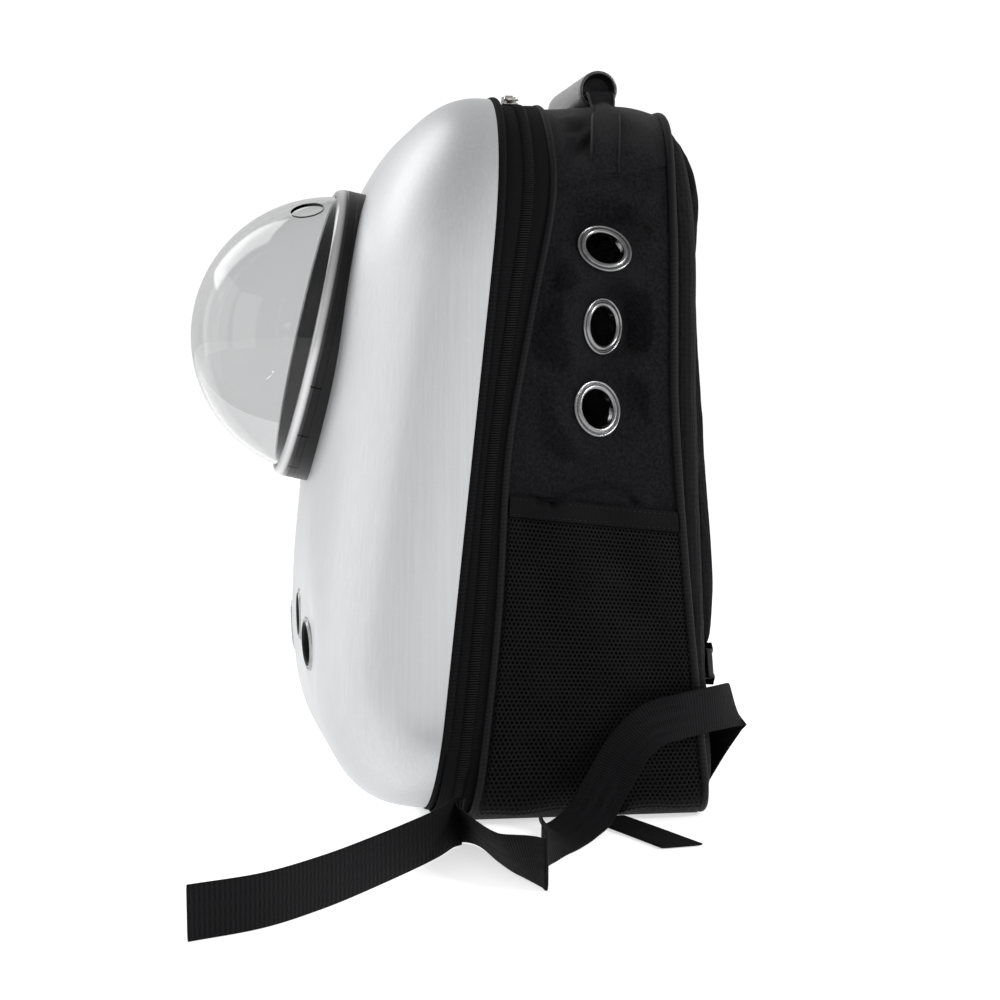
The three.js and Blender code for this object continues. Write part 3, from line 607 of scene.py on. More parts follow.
def turned(name, section, steps, matrix):
    """A closed section of radius and height, in millimetres, spun about its axis and put in place."""
    bpy.ops.mesh.primitive_circle_add(vertices=len(section), fill_type="NOTHING")
    piece = named(name)
    put_coords(piece, np.array([(radius, 0, height) for radius, height in section]) * MM)
    with editing(piece):
        bpy.ops.mesh.spin(steps=steps, angle=TURN, center=(0, 0, 0), axis=(0, 0, 1))
    weld(piece)
    piece.data.transform(matrix)
    return smooth(piece, 50)


def facing(point, axis):
    """A place in millimetres and the direction that a piece's own +Z gets there, as a matrix."""
    turn = Vector(axis).to_track_quat("Z", "Y").to_matrix().to_4x4()
    return Matrix.Translation(Vector(point) * MM) @ turn


def fit(piece, finish, slot, *nodes, body="bag"):
    if finish:
        piece.data.materials.clear()
        piece.data.materials.append(finish)
    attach(piece, body)
    if nodes:
        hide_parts(*nodes)
    return piece


def scatter(name, template, matrices):
    """One mesh of many copies of a small template, which is then removed."""
    base = coords(template)
    faces = [list(p.vertices) for p in template.data.polygons]
    bpy.data.objects.remove(template)
    turns = np.array([[list(row) for row in m] for m in matrices])
    places = np.einsum("nij,kj->nki", turns[:, :3, :3], base) + turns[:, None, :3, 3]
    shift = len(base)
    every = [[i + n * shift for i in face] for n in range(len(turns)) for face in faces]
    return smooth(built(name, places.reshape(-1, 3).tolist(), every))


def bead(length, width, height, segments=6, rings=4):
    """A small rounded bar along X, in millimetres."""
    bpy.ops.mesh.primitive_uv_sphere_add(segments=segments, ring_count=rings, radius=0.5)
    piece = named("bead")
    piece.data.transform(Matrix.Rotation(math.pi / 2, 4, "Y"))
    piece.data.transform(Matrix.Diagonal((length * MM, width * MM, height * MM, 1)))
    return piece


def lying(points, along, normal):
    """Matrices that put a bead's X along a line and its Z out of a surface."""
    found = []
    for p, a, n in zip(points, along, normal):
        x = Vector(a).normalized()
        z = Vector(n)
        z = (z - x * z.dot(x)).normalized()
        y = z.cross(x)
        m = Matrix((x, y, z)).transposed().to_4x4()
        m.translation = Vector(p)
        found.append(m)
    return found


def evenly_along(line, pitch):
    """Points at an even pitch on a line of points, with the direction there. All in metres."""
    steps = np.linalg.norm(np.diff(line, axis=0), axis=1)
    run = np.concatenate([[0], np.cumsum(steps)])
    at = np.arange(pitch / 2, run[-1], pitch)
    pick = lambda s: np.stack([np.interp(s, run, line[:, k]) for k in range(3)], 1)
    ends = pick(np.minimum(at + pitch / 4, run[-1])) - pick(np.maximum(at - pitch / 4, 0))
    return pick(at), ends


def sewn(name, lines, target, length=2.3, pitch=3.1, width=0.55):
    """Rows of stitches that lie on a piece, along lines in millimetres."""
    tree = BVHTree.FromObject(target, bpy.context.evaluated_depsgraph_get())
    matrices = []
    for line in lines:
        points, along = evenly_along(np.asarray(line) * MM, pitch * MM)
        seats = [tree.find_nearest(Vector(p)) for p in points]
        spots = [place + normal * 0.0001 for place, normal, _, _ in seats]
        matrices += lying(spots, along, [normal for _, normal, _, _ in seats])
    piece = scatter(name, bead(length, width, width), matrices)
    return fit(piece, THREAD, "fabric")


# The bag's form

PER_STRETCH = 48


def mix(a, b, share):
    return a + (b - a) * share


def rise(value, low, high):
    share = np.clip((value - low) / (high - low), 0, 1)
    return share * share * (3 - 2 * share)


def bell(distance, reach):
    return np.exp(-((distance / reach) ** 2))


def eased_half(half, low, high, top_radius, low_radius, ease):
    """Right half of an outline, from the middle of the base to the middle of the top: x, z and normal.
    The change from straight to corner is eased, as cloth and moulded shells have it."""
    t = np.linspace(0, 1, PER_STRETCH + 1)
    a = t * math.pi / 2
    stretches = (
        (t * (half - low_radius), low + 0 * t),
        (half - low_radius + low_radius * np.sin(a), low + low_radius - low_radius * np.cos(a)),
        (half + 0 * t, mix(low + low_radius, high - top_radius, t)),
        (half - top_radius + top_radius * np.cos(a), high - top_radius + top_radius * np.sin(a)),
        ((half - top_radius) * (1 - t), high + 0 * t),
    )
    right = np.concatenate([np.stack(s, 1)[:-1] for s in stretches] + [np.array([[0, high]])])
    loop = np.concatenate([right, right[-2:0:-1] * (-1, 1)])
    step = np.linalg.norm(np.roll(loop, -1, 0) - loop, axis=1)
    run = np.concatenate([[0], np.cumsum(step)[:-1]])
    away = np.abs(run[:, None] - run[None, :])
    away = np.minimum(away, step.sum() - away)
    weight = np.exp(-0.5 * (away / ease) ** 2) * (step + np.roll(step, 1)) / 2
    loop = weight @ loop / weight.sum(1)[:, None]
    way = np.roll(loop, -1, 0) - np.roll(loop, 1, 0)
    normal = np.stack([way[:, 1], -way[:, 0]], 1) / np.linalg.norm(way, axis=1)[:, None]
    return np.concatenate([loop, normal], 1)[: len(right)]


HALVES = np.stack([eased_half(**row) for row in OUTLINES])
LAST_STOP = HALVES.shape[1] - 1


def outline(v, stop):
    """x, z and normal at stops along the outline v; a negative stop is on the left half."""
    v, stop = np.broadcast_arrays(np.asarray(v, float), np.asarray(stop, float))
    side = np.where(stop < 0, -1.0, 1.0)
    stops = np.arange(LAST_STOP + 1)
    tables = [np.stack([np.interp(np.abs(stop), stops, half[:, k]) for k in range(4)], -1) for half in HALVES]
    low = np.minimum(v.astype(int), 1)
    share = (v - low)[..., None]
    first = np.where((low == 0)[..., None], tables[0], tables[1])
    second = np.where((low == 0)[..., None], tables[1], tables[2])
    x, z, nx, nz = np.moveaxis(mix(first, second, share), -1, 0)
    return side * x, z + crown(v, np.abs(stop)), side * nx, nz


def crown(v, stop):
    """How far the top, with its corners, bows up between the piping and the back seam."""
    share = np.clip(v - PIPING, 0, 1)
    up = np.clip(stop / PER_STRETCH - 2, 0, 1)
    return CROWN["rise"] * np.sin(math.pi * share ** CROWN["power"]) * up


def stop_at_height(v, z):
    v, z = np.broadcast_arrays(np.asarray(v, float), np.asarray(z, float))
    found = np.empty(v.shape)
    for one in np.unique(v):
        low = min(int(one), 1)
        stops = np.arange(LAST_STOP + 1)
        heights = mix(HALVES[low][:, 1], HALVES[low + 1][:, 1], one - low) + crown(one, stops)
        chosen = v == one
        found[chosen] = np.interp(z[chosen], heights, stops)
    return found


def rim_y(z):
    return RIM_LOW_Y + RIM_SLOPE * z


def piping_y(z):
    waist = BAND["waist"] * bell(z - BAND["waist_z"], BAND["waist_spread"])
    swell = BAND["swell"] * bell(z - BAND["swell_z"], BAND["swell_spread"])
    return BAND["low_y"] + BAND["slope"] * z - waist + swell


def seam_y(z):
    flare = np.maximum(0, 1 - z / BACK_SEAM["flare_below"]) ** BACK_SEAM["flare_power"]
    lean = np.maximum(0, (z - BACK_SEAM["lean_above"]) / (OUTLINES[SEAM]["high"] - BACK_SEAM["lean_above"]))
    return BACK_SEAM["y"] + BACK_SEAM["low_flare"] * flare + BACK_SEAM["top_lean"] * lean ** 2


def body_y(v, z):
    return mix(piping_y(z) + PANELS["front_inset"], seam_y(z) - PANELS["back_inset"], v - PIPING)


def beside(y, z, line):
    """Distance from a line of y and z."""
    nearest = np.full(np.broadcast(y, z).shape, np.inf)
    for (y1, z1), (y2, z2) in zip(line, line[1:]):
        run_y, run_z = y2 - y1, z2 - z1
        share = np.clip(((y - y1) * run_y + (z - z1) * run_z) / (run_y ** 2 + run_z ** 2), 0, 1)
        nearest = np.minimum(nearest, np.hypot(y - y1 - share * run_y, z - z1 - share * run_z))
    return nearest


def slack(y, z):
    """How far the slack cloth of a side stands out from its smooth form."""
    out = np.zeros(np.broadcast(y, z).shape)
    for crease_y, crease_z, angle, length, width, depth in CREASES:
        a = math.radians(angle)
        along = (y - crease_y) * math.cos(a) + (z - crease_z) * math.sin(a)
        over = (z - crease_z) * math.cos(a) - (y - crease_y) * math.sin(a)
        out -= depth * bell(along, length) * bell(over, width)
    for depth, line in FOLDS:
        out -= depth * bell(beside(y, z, line), FOLD_WIDTH)
    for angle, wave, phase, height in RIPPLES:
        a = math.radians(angle)
        out += height * np.sin(TURN * (y * math.cos(a) + z * math.sin(a)) / wave + phase)
    for vent_y, vent_z, up, back in SIDE_VENTS:
        dy, dz = y - vent_y, z - vent_z
        hold = 1 - rise(np.hypot(dy, dz), VENT_SEAT, VENT_REACH)
        tilt = dy * math.tan(math.radians(back)) + dz * math.tan(math.radians(up))
        out = mix(out, -tilt, hold)
    return out


def top_seam(v):
    """Height of the seam between side and top, which rises towards the back."""
    return PANELS["top_z"] + PANELS["top_rise"] * (v - PIPING - PANELS["level_at"])


def panel_edge(v):
    """The slack is taken up towards the piping and the back seam."""
    return np.clip(np.minimum((v - PIPING) * 6, (SEAM - v) * 6), 0, 1)


def side_skin(side, v, z, out=0.0):
    x, height, nx, nz = outline(v, stop_at_height(v, z))
    y = body_y(v, z)
    stand = out + slack(y, z) * panel_edge(v)
    return np.stack([side * (x + nx * stand), y, height + nz * stand], -1)


def stop_points(v, stop, back, out, sink=0.0):
    """Points by a ring round the outline v, back along Y and out of the bag."""
    x, z, nx, nz = outline(v, stop)
    y = rim_y(z) if v <= 0.5 else piping_y(z)
    stand = out - sink * np.maximum(0, -nz)
    return np.stack([x + nx * stand, y + back, z + nz * stand], -1)


def loop_stops(share):
    """Stops round the whole outline for shares from 0 to 1, from the base's middle up the right side."""
    stop = 2 * LAST_STOP * share
    return np.where(stop > LAST_STOP, stop - 2 * LAST_STOP, stop)


# About the length of the outline round the bag
LOOP_LENGTH = 1290


# Front shell with its window

SHELL_AXIS = np.array((0, -1, RIM_SLOPE)) / math.hypot(1, RIM_SLOPE)
SHELL_MIDDLE = np.array((0, rim_y(SHELL["middle_z"]), SHELL["middle_z"]))
WINDOW_AXIS = np.array((0, -math.cos(WINDOW["tilt"]), math.sin(WINDOW["tilt"])))
WINDOW_SEAT = np.array((0, WINDOW["y"], WINDOW["z"]))


def dish(around, turn):
    row = OUTLINES[RIM]
    x, z, _, _ = outline(RIM, loop_stops(around))
    rim = np.stack([x, rim_y(z), z], -1)
    power = 2 / mix(SHELL["low_power"], SHELL["top_power"], rise(z, row["low"], row["high"]))
    angle = turn * math.pi / 2
    near = np.cos(angle).clip(0) ** power
    depth = SHELL["depth"] * np.sin(angle) ** power
    found = SHELL_MIDDLE + (rim - SHELL_MIDDLE) * near[..., None] + depth[..., None] * SHELL_AXIS
    away = found - WINDOW_SEAT
    away -= (away @ WINDOW_AXIS)[..., None] * WINDOW_AXIS
    far = np.linalg.norm(away, axis=-1)
    beside_it = (away[..., 0] / np.maximum(far, 1)) ** 2
    swell = COLLAR["rise"] * beside_it * bell(np.maximum(0, far - BEZEL["radius"]), COLLAR["reach"])
    found = found + swell[..., None] * WINDOW_AXIS
    for x, z in FRONT_VENTS:
        hold = 1 - rise(np.hypot(found[..., 0] - x, found[..., 2] - z), VENT_SEAT, FRONT_SEAT["reach"])
        turned_in = np.sign(x) * (found[..., 0] - x) * math.tan(FRONT_SEAT["turn"]) * hold
        found = found - turned_in[..., None] * SHELL_AXIS
    return found


def plug(name, point, axis, radius, length, sides=64):
    """A straight cutter for a round hole."""
    bpy.ops.mesh.primitive_cylinder_add(vertices=sides, radius=radius * MM, depth=length * MM)
    piece = named(name)
    piece.data.transform(facing(point, axis))
    return piece


def make_shell():
    shell = weld(spread("shell", 320, 80, dish, (LOOP_LENGTH, 250)))
    tree = BVHTree.FromObject(shell, bpy.context.evaluated_depsgraph_get())
    seats = []
    for x, z in FRONT_VENTS:
        place, normal, _, _ = tree.ray_cast(Vector((x, -500, z)) * MM, Vector((0, 1, 0)))
        seats.append((np.array(place) / MM, np.array(normal if normal.y < 0 else -normal)))
    shell.data.materials.append(SILVER)
    shell.data.materials.append(LINING_AND_PAINTED_SHADE)
    thicken(shell, SHELL["wall"], material_offset=1, use_even_offset=True)
    holes = [plug("window_hole", WINDOW_SEAT, WINDOW_AXIS, BEZEL["radius"] - 1.5, 120, 128)]
    vent = EYELET["bore"] + EYELET["shell_hole"]
    holes += [plug("vent_hole", point, axis, vent, 30) for point, axis in seats]
    cut_with(shell, holes)
    smooth(shell, 40)
    fit(shell, None, "shell", "front_shell")
    for n, (point, axis) in enumerate(seats, 1):
        ring = eyelet(f"front_eyelet_{n}", point, axis, FRONT_LIFT)
        deep, far = face_places(ring, point, axis)
        # The inner lip and the deep end of the bore get the dark lining finish: painted shade, so that the
        # hole reads black
        inner = (far < EYELET["bore"] + EYELET["dark"]) | (deep < FRONT_LIFT - 0.4)
        two_finishes(ring, CHROME, LINING_AND_PAINTED_SHADE, inner)
        fit(ring, None, "eyelet", f"front_vent_{n}")


def arc(centre, radius, start, end, steps):
    """Section points on a bow, from one angle to another in degrees."""
    angles = np.radians(np.linspace(start, end, steps + 1))
    return [(centre[0] + radius * math.cos(a), centre[1] + radius * math.sin(a)) for a in angles]


def eyelet(name, point, axis, lift):
    """A rolled outer edge, a groove and a wide inner roll that turns into the bore."""
    outer, bore, low = EYELET["radius"], EYELET["bore"], EYELET["back"]
    section = (
        arc((outer - 0.8, 0.2), 0.8, -50, 150, 8)
        + [(outer - 1.75, 0.1), (outer - 2.0, 0.1)]
        + arc((bore + 1.6, 0.0), 1.6, 15, 180, 10)
        + [(bore, low), (bore + 0.5, low), (bore + 0.5, -0.9), (outer - 1.2, -0.75)]
    )
    return turned(name, section, 64, facing(point + axis * lift, axis))


def make_window():
    radius, bore, lip = BEZEL["radius"], BEZEL["bore"], BEZEL["lip"]
    front, back = BEZEL["front"], BEZEL["back"]
    section = (
        [(bore, back), (radius - 0.4, back), (radius, back + 0.4)]
        + [(radius, 2.0), (radius - 0.25, 2.3), (radius - 0.25, 2.7), (radius, 3.0)]
        + [(radius + BEZEL["shoulder"] * (math.cos(a) - 1), front + BEZEL["roll"] * (math.sin(a) - 1))
           for a in np.linspace(0, math.pi / 2, 11)]
        + arc((lip + 1.0, front - 1.0), 1.0, 90, 180, 4)
        + [(lip + 0.1, front - 1.6), (bore, front - 2.4)]
    )
    seat = facing(WINDOW_SEAT, WINDOW_AXIS)
    bezel = turned("window_bezel", section, 160, seat)
    cutters = []
    for n in range(NOTCHES["count"]):
        notch = block("notch", NOTCHES["size"], (radius, 0, NOTCHES["up"]), NOTCHES["bevel"])
        turn = math.radians(NOTCHES["first"] + NOTCHES["step"] * n)
        notch.data.transform(seat @ Matrix.Rotation(turn, 4, "Z"))
        cutters.append(notch)
    cut_with(bezel, cutters)
    smooth(bezel, 35)
    deep, _ = face_places(bezel, WINDOW_SEAT, WINDOW_AXIS)
    # The rolled lip's faces take the finish with the painted highlight stripe
    two_finishes(bezel, BEZEL_BLACK, BEZEL_PAINTED_HIGHLIGHT, deep > front - BEZEL["roll"] + 0.5)
    fit(bezel, None, "ring", "window_ring")

    seat = WINDOW_SEAT + WINDOW_AXIS * WINDOW["dome_at"]
    bpy.ops.mesh.primitive_uv_sphere_add(segments=160, ring_count=96, radius=WINDOW["dome"] * MM)
    dome = named("window_bubble")
    with editing(dome):
        bpy.ops.mesh.bisect(plane_co=(0, 0, 0), plane_no=(0, 0, 1), clear_inner=True)
        bpy.ops.mesh.select_all(action="DESELECT")
        bpy.ops.mesh.select_non_manifold()
        bpy.ops.mesh.extrude_edges_move(TRANSFORM_OT_translate={"value": (0, 0, (BEZEL["back"] + 1) * MM)})
    weld(dome)
    dome.data.transform(facing(seat, WINDOW_AXIS))
    thicken(dome, WINDOW["wall"])
    towards = np.array(AIR_HOLE["towards"]) / np.linalg.norm(AIR_HOLE["towards"])
    cut_with(dome, [plug("air_hole", seat + towards * WINDOW["dome"], towards, AIR_HOLE["radius"], 20)])
    smooth(dome, 40)
    fit(dome, ACRYLIC, "dome", "window_dome")


# Closure between shell and body


def band_ring(name, section, at, columns=720):
    """A closed section of steps back and out, carried round the bag."""
    count = len(section)
    steps = np.array(section + section[:1], float)

    def place(around, across):
        spot = across * count
        back = np.interp(spot, np.arange(count + 1), steps[:, 0])
        out = np.interp(spot, np.arange(count + 1), steps[:, 1])
        return at(loop_stops(around), back, out)

    run = np.linalg.norm(np.diff(steps, axis=0), axis=1).sum()
    piece = spread(name, columns, count, place, (LOOP_LENGTH, run))
    turn_map(piece)
    return smooth(weld(piece), 50)


def turn_map(piece):
    """Swaps a map's two directions, so that its second one runs along the tape."""
    layer = piece.data.uv_layers["cloth"]
    found = np.empty(len(layer.uv) * 2, np.float32)
    layer.uv.foreach_get("vector", found)
    layer.uv.foreach_set("vector", np.ascontiguousarray(found.reshape(-1, 2)[:, ::-1]).ravel())


def tape_back(z):
    return piping_y(z) - rim_y(z) - CORD["radius"] - GAP


def make_closure():
    depth, proud, thick = BINDING["depth"], BINDING["proud"], BINDING["thick"]
    middle = depth / 2
    roll = [(middle - (middle - 0.3) * math.cos(a), proud - thick / 2 + thick / 2 * math.sin(a))
            for a in np.linspace(0, TURN, 15)[:-1]]
    binding = band_ring("shell_edge_binding", roll, lambda s, back, out: stop_points(RIM, s, back, out))
    fit(binding, BINDING_TAPE, "zip_tape", "shell_binding")

    start = depth - 1.5

    def on_tape(stop, share, out):
        x, z, nx, nz = outline(ZIP_AT, stop)
        back = mix(start, tape_back(z) + CORD["radius"], share)
        lift = out - TAPE_SUNK
        return np.stack([x + nx * lift, rim_y(z) + back, z + nz * lift], -1)

    tapes = band_ring("zip_tapes", TAPE_SECTION, on_tape)
    fit(tapes, ZIP_TAPE, "zip_tape", "zip_band")

    share = np.linspace(0, 1, 4001)
    middle_line = on_tape(loop_stops(share), 0.5, 0.0) * MM
    points, _ = evenly_along(middle_line, COIL["pitch"] * MM)
    matrices = []
    for point in points:
        x, z = Vector((0, 1, 0)), Vector(nearest_normal(point))
        m = Matrix((x, z.cross(x).normalized(), z)).transposed().to_4x4()
        m.translation = Vector(point) + z * (COIL["lift"] * MM)
        matrices.append(m)
    rib = bead(COIL["length"], COIL["pitch"] * COIL["share"], COIL["thick"], 8, 6)
    fit(scatter("zip_coil", rib, matrices), COIL_NYLON, "zip_tape")

    around = arc((0, CORD["out"]), CORD["radius"], 0, 360, 16)[:-1]
    sink = CORD["out"] + CORD["radius"] + GAP
    piping = band_ring("piping", around, lambda s, back, out: stop_points(PIPING, s, back, out, sink))
    fit(piping, PIPING_CLOTH, "piping", "body_piping")


ZIP_LINE = np.stack(outline(ZIP_AT, np.linspace(-LAST_STOP, LAST_STOP, 2001)), -1)


def nearest_normal(point):
    """Outward direction of the zip's outline nearest to a point in metres."""
    away = np.hypot(ZIP_LINE[:, 0] - point[0] / MM, ZIP_LINE[:, 1] - point[2] / MM)
    row = ZIP_LINE[away.argmin()]
    return (row[2], 0, row[3])


# Fabric body


def vent_seat(side, vent):
    y, z = vent[:2]
    v = PIPING + (y - piping_y(z)) / (seam_y(z) - piping_y(z))
    at = lambda dv, dz: side_skin(side, np.array([v + dv]), np.array([float(z + dz)]))[0]
    normal = np.cross(at(0.02, 0) - at(-0.02, 0), at(0, 3) - at(0, -3)) * side
    return at(0, 0), normal / np.linalg.norm(normal)


def open_vents(cloth, seats):
    """Takes the cloth away inside its eyelets."""
    inside = np.zeros(len(cloth.data.polygons), bool)
    for point, axis in seats:
        deep, far = face_places(cloth, point, axis)
        inside |= (far < EYELET["bore"] + EYELET["cloth_hole"]) & (np.abs(deep) < 20)
    with editing(cloth):
        bpy.ops.mesh.select_all(action="DESELECT")
        bpy.ops.mesh.select_mode(type="FACE")
        bpy.ops.object.mode_set(mode="OBJECT")
        cloth.data.polygons.foreach_set("select", inside)
        bpy.ops.object.mode_set(mode="EDIT")
        bpy.ops.mesh.delete(type="FACE")
        bpy.ops.mesh.select_mode(type="VERT")


def pocket_top(v):
    return mix(POCKET["front_top"], POCKET["back_top"], v - PIPING)


def pocket_stand(v, z):
    lift = np.sin(np.clip((z - POCKET["low"]) / 60, 0, 1) * math.pi / 2)
    fold = POCKET["fold"] * np.sin(TURN * (1.7 * (v - PIPING) + z / 280) + 0.6)
    return POCKET["clear"] + (POCKET["slack"] + fold) * np.sin((v - PIPING) * math.pi) * lift


def tucked(across):
    """Shares of the way from under the piping to the back seam."""
    return PIPING + mix(-TUCK, 1, across)


def make_side(side, word):
    def place(across, along):
        v = tucked(across)
        return side_skin(side, v, mix(PANELS["base_z"], top_seam(v) + 3, along))

    cloth = spread(f"side_cloth_{word}", 64, 200, place, (115, 350))
    if side < 0:
        turn_over(cloth)
    seats = [vent_seat(side, vent) for vent in SIDE_VENTS]
    open_vents(cloth, seats)
    thicken(cloth, CLOTH["side"])
    smooth(cloth)
    fit(cloth, OXFORD, "fabric", f"side_panel_{word}")
    across = np.linspace(0.2, 0.99, 60)
    rows = [side_skin(side, PIPING + across, top_seam(PIPING + across) - drop) for drop in SEAM_ROWS]
    sewn(f"seam_stitches_{word}", rows, cloth)
    for n, (point, axis) in enumerate(seats, 1):
        ring = eyelet(f"side_eyelet_{word}_{n}", point, axis, SIDE_LIFT)
        fit(ring, GUNMETAL, "eyelet", f"side_vent_{word}_{n}")
    make_pocket(side, word)


def make_pocket(side, word):
    hem_low = lambda v: pocket_top(v) - HEM["width"]

    def at(v, z, out):
        return side_skin(side, v, z, pocket_stand(v, z) + out)

    columns, rows, hole = NET["columns"], NET["rows"], NET["hole"]
    width = 1 / columns
    corners = {}
    vertices, faces = [], []

    def corner(a, b):
        key = (round(a, 5), round(b, 5))
        if key not in corners:
            corners[key] = len(vertices)
            vertices.append(key)
        return corners[key]

    height = 1 / (rows * 0.75)
    for r in range(rows):
        for c in range(columns):
            a, b = (c + 0.5 + 0.5 * (r % 2)) * width, (0.75 * r + 0.5) * height
            if a + width / 2 > 1.001 or b + height / 2 > 1.001:
                continue
            rim = [(a, b - height / 2), (a + width / 2, b - height / 4), (a + width / 2, b + height / 4),
                   (a, b + height / 2), (a - width / 2, b + height / 4), (a - width / 2, b - height / 4)]
            outer = [corner(*p) for p in rim]
            inner = [corner(mix(a, x, hole), mix(b, y, hole)) for x, y in rim]
            faces += [(outer[k], outer[(k + 1) % 6], inner[(k + 1) % 6], inner[k]) for k in range(6)]
    flat = np.clip(np.array(vertices), 0, 1)
    v = PIPING + flat[:, 0]
    z = mix(PANELS["base_z"], hem_low(v) + 1, flat[:, 1])
    net = built(f"pocket_net_{word}", (at(v, z, NET["out"]) * MM).tolist(), faces)
    if side < 0:
        turn_over(net)
    thicken(net, NET["thick"], offset=0)
    smooth(net, 40)
    fit(net, NET_THREAD, "net", f"pocket_{word}")

    def hem_place(across, along):
        v = PIPING + across
        z = mix(hem_low(v), pocket_top(v), along)
        return at(v, z, HEM["out"] + HEM["swell"] * np.sin(along * math.pi) ** 0.5)

    hem = spread(f"pocket_hem_tape_{word}", 60, 10, hem_place, (108, HEM["width"]))
    turn_map(hem)
    if side < 0:
        turn_over(hem)
    thicken(hem, HEM["thick"], offset=0)
    smooth(hem, 60)
    fit(hem, BINDING_TAPE, "fabric", f"pocket_hem_{word}")
    across = np.linspace(0.01, 0.99, 60)
    rows = [hem_place(across, np.full(60, share)) for share in HEM["rows"]]
    sewn(f"hem_stitches_{word}", rows, hem)


def cross_place(stops, out=0.0):
    """Places for a sheet across both sides, through the base or over the top."""

    def place(across, along):
        v = tucked(across)
        stop = stops(v, along)
        x, z, nx, nz = outline(v, stop)
        y = body_y(v, z)
        stand = out + slack(y, z) * panel_edge(v) * rise(np.abs(nx), 0.15, 0.6)
        return np.stack([x + nx * stand, y, z + nz * stand], -1)

    return place


def over_top(v, along):
    seam = stop_at_height(v, top_seam(v))
    stop = mix(seam, 2 * LAST_STOP - seam, along)
    return np.where(stop > LAST_STOP, stop - 2 * LAST_STOP, stop)


def under_base(v, along):
    seam = stop_at_height(v, np.full_like(v, PANELS["base_z"]))
    return mix(-seam, seam, along)


def make_body():
    make_side(1, "right")
    make_side(-1, "left")
    top = spread("top_cloth", 56, 220, cross_place(over_top, 0.6), (105, 380))
    thicken(top, CLOTH["side"])
    fit(smooth(top), OXFORD, "fabric", "top_panel")
    base = spread("base_cloth", 40, 120, cross_place(under_base), (125, 300))
    thicken(base, CLOTH["base"])
    fit(smooth(base), OXFORD, "fabric", "base_panel")
    make_pad("back_pad", "back_panel", *BACK_FILL)
    make_welt()
    for word in ("right", "left"):
        make_pad(f"strap_pad_{word}", f"shoulder_strap_{word}", *STRAP_FILL)


def make_welt():
    """The rolled seam where sides, top and base meet the back."""
    around = arc((WELT["back"], WELT["out"]), WELT["radius"], 0, 360, 16)[:-1]

    def at(stop, back, out):
        x, z, nx, nz = outline(SEAM, stop)
        stand = out - (WELT["out"] + WELT["radius"] + GAP) * np.maximum(0, -nz)
        return np.stack([x + nx * stand, seam_y(z) + back, z + nz * stand], -1)

    fit(band_ring("back_welt", around, at), PIPING_CLOTH, "piping")


def make_pad(name, node, voxel, pressure, cap):
    """A padded piece: a copy of its solid, a little smaller, swollen as cloth by the padding in it."""
    pad = bpy.data.objects.new(name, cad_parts[node].data.copy())
    bpy.context.scene.collection.objects.link(pad)
    pad.data.materials.clear()
    weld(pad)
    modify(pad, "REMESH", mode="VOXEL", voxel_size=voxel * MM)
    modify(pad, "SMOOTH", factor=0.5, iterations=6)
    with editing(pad):
        bpy.ops.transform.shrink_fatten(value=-0.3 * MM)
    rest = coords(pad)
    cloth = pad.modifiers.new("filling", "CLOTH")
    cloth.settings.use_pressure = True
    cloth.settings.uniform_pressure_force = pressure
    cloth.settings.effector_weights.gravity = 0
    scene = bpy.context.scene
    for step in range(1, 21):
        scene.frame_set(step)
    shaped = pad.evaluated_get(bpy.context.evaluated_depsgraph_get())
    places = np.empty((len(shaped.data.vertices), 3), np.float32)
    shaped.data.vertices.foreach_get("co", places.ravel())
    pad.modifiers.remove(cloth)
    scene.frame_set(1)
    moved = places - rest
    far = np.linalg.norm(moved, axis=1)[:, None]
    put_coords(pad, rest + moved * np.minimum(1, cap * MM / np.maximum(far, 1e-9)))
    modify(pad, "SUBSURF", levels=1, render_levels=1)
    smooth(pad)
    fit(pad, PADDING, "padding", node)


# Straps and handle


def catmull(points, count):
    """Points on the curve through the given ones, and the directions there."""
    points = np.asarray(points, float)
    ends = np.concatenate([[2 * points[0] - points[1]], points, [2 * points[-1] - points[-2]]])
    spot = np.linspace(0, len(points) - 1, count)
    piece = np.minimum(spot.astype(int), len(points) - 2)
    w = (spot - piece)[:, None]
    p0, p1, p2, p3 = (ends[piece + k] for k in range(4))
    gap = lambda a, b: np.maximum(np.linalg.norm(a - b, axis=1), 1e-8)[:, None] ** 0.5
    d0, d1, d2 = gap(p0, p1), gap(p1, p2), gap(p2, p3)
    t1 = ((p1 - p0) / d0 - (p2 - p0) / (d0 + d1) + (p2 - p1) / d1) * d1
    t2 = ((p2 - p1) / d1 - (p3 - p1) / (d1 + d2) + (p3 - p2) / d2) * d1
    c2, c3 = -3 * p1 + 3 * p2 - 2 * t1 - t2, 2 * p1 - 2 * p2 + t1 + t2
    return p1 + t1 * w + c2 * w ** 2 + c3 * w ** 3, t1 + 2 * c2 * w + 3 * c3 * w ** 2


def unit(rows):
    return rows / np.maximum(np.linalg.norm(rows, axis=-1, keepdims=True), 1e-12)


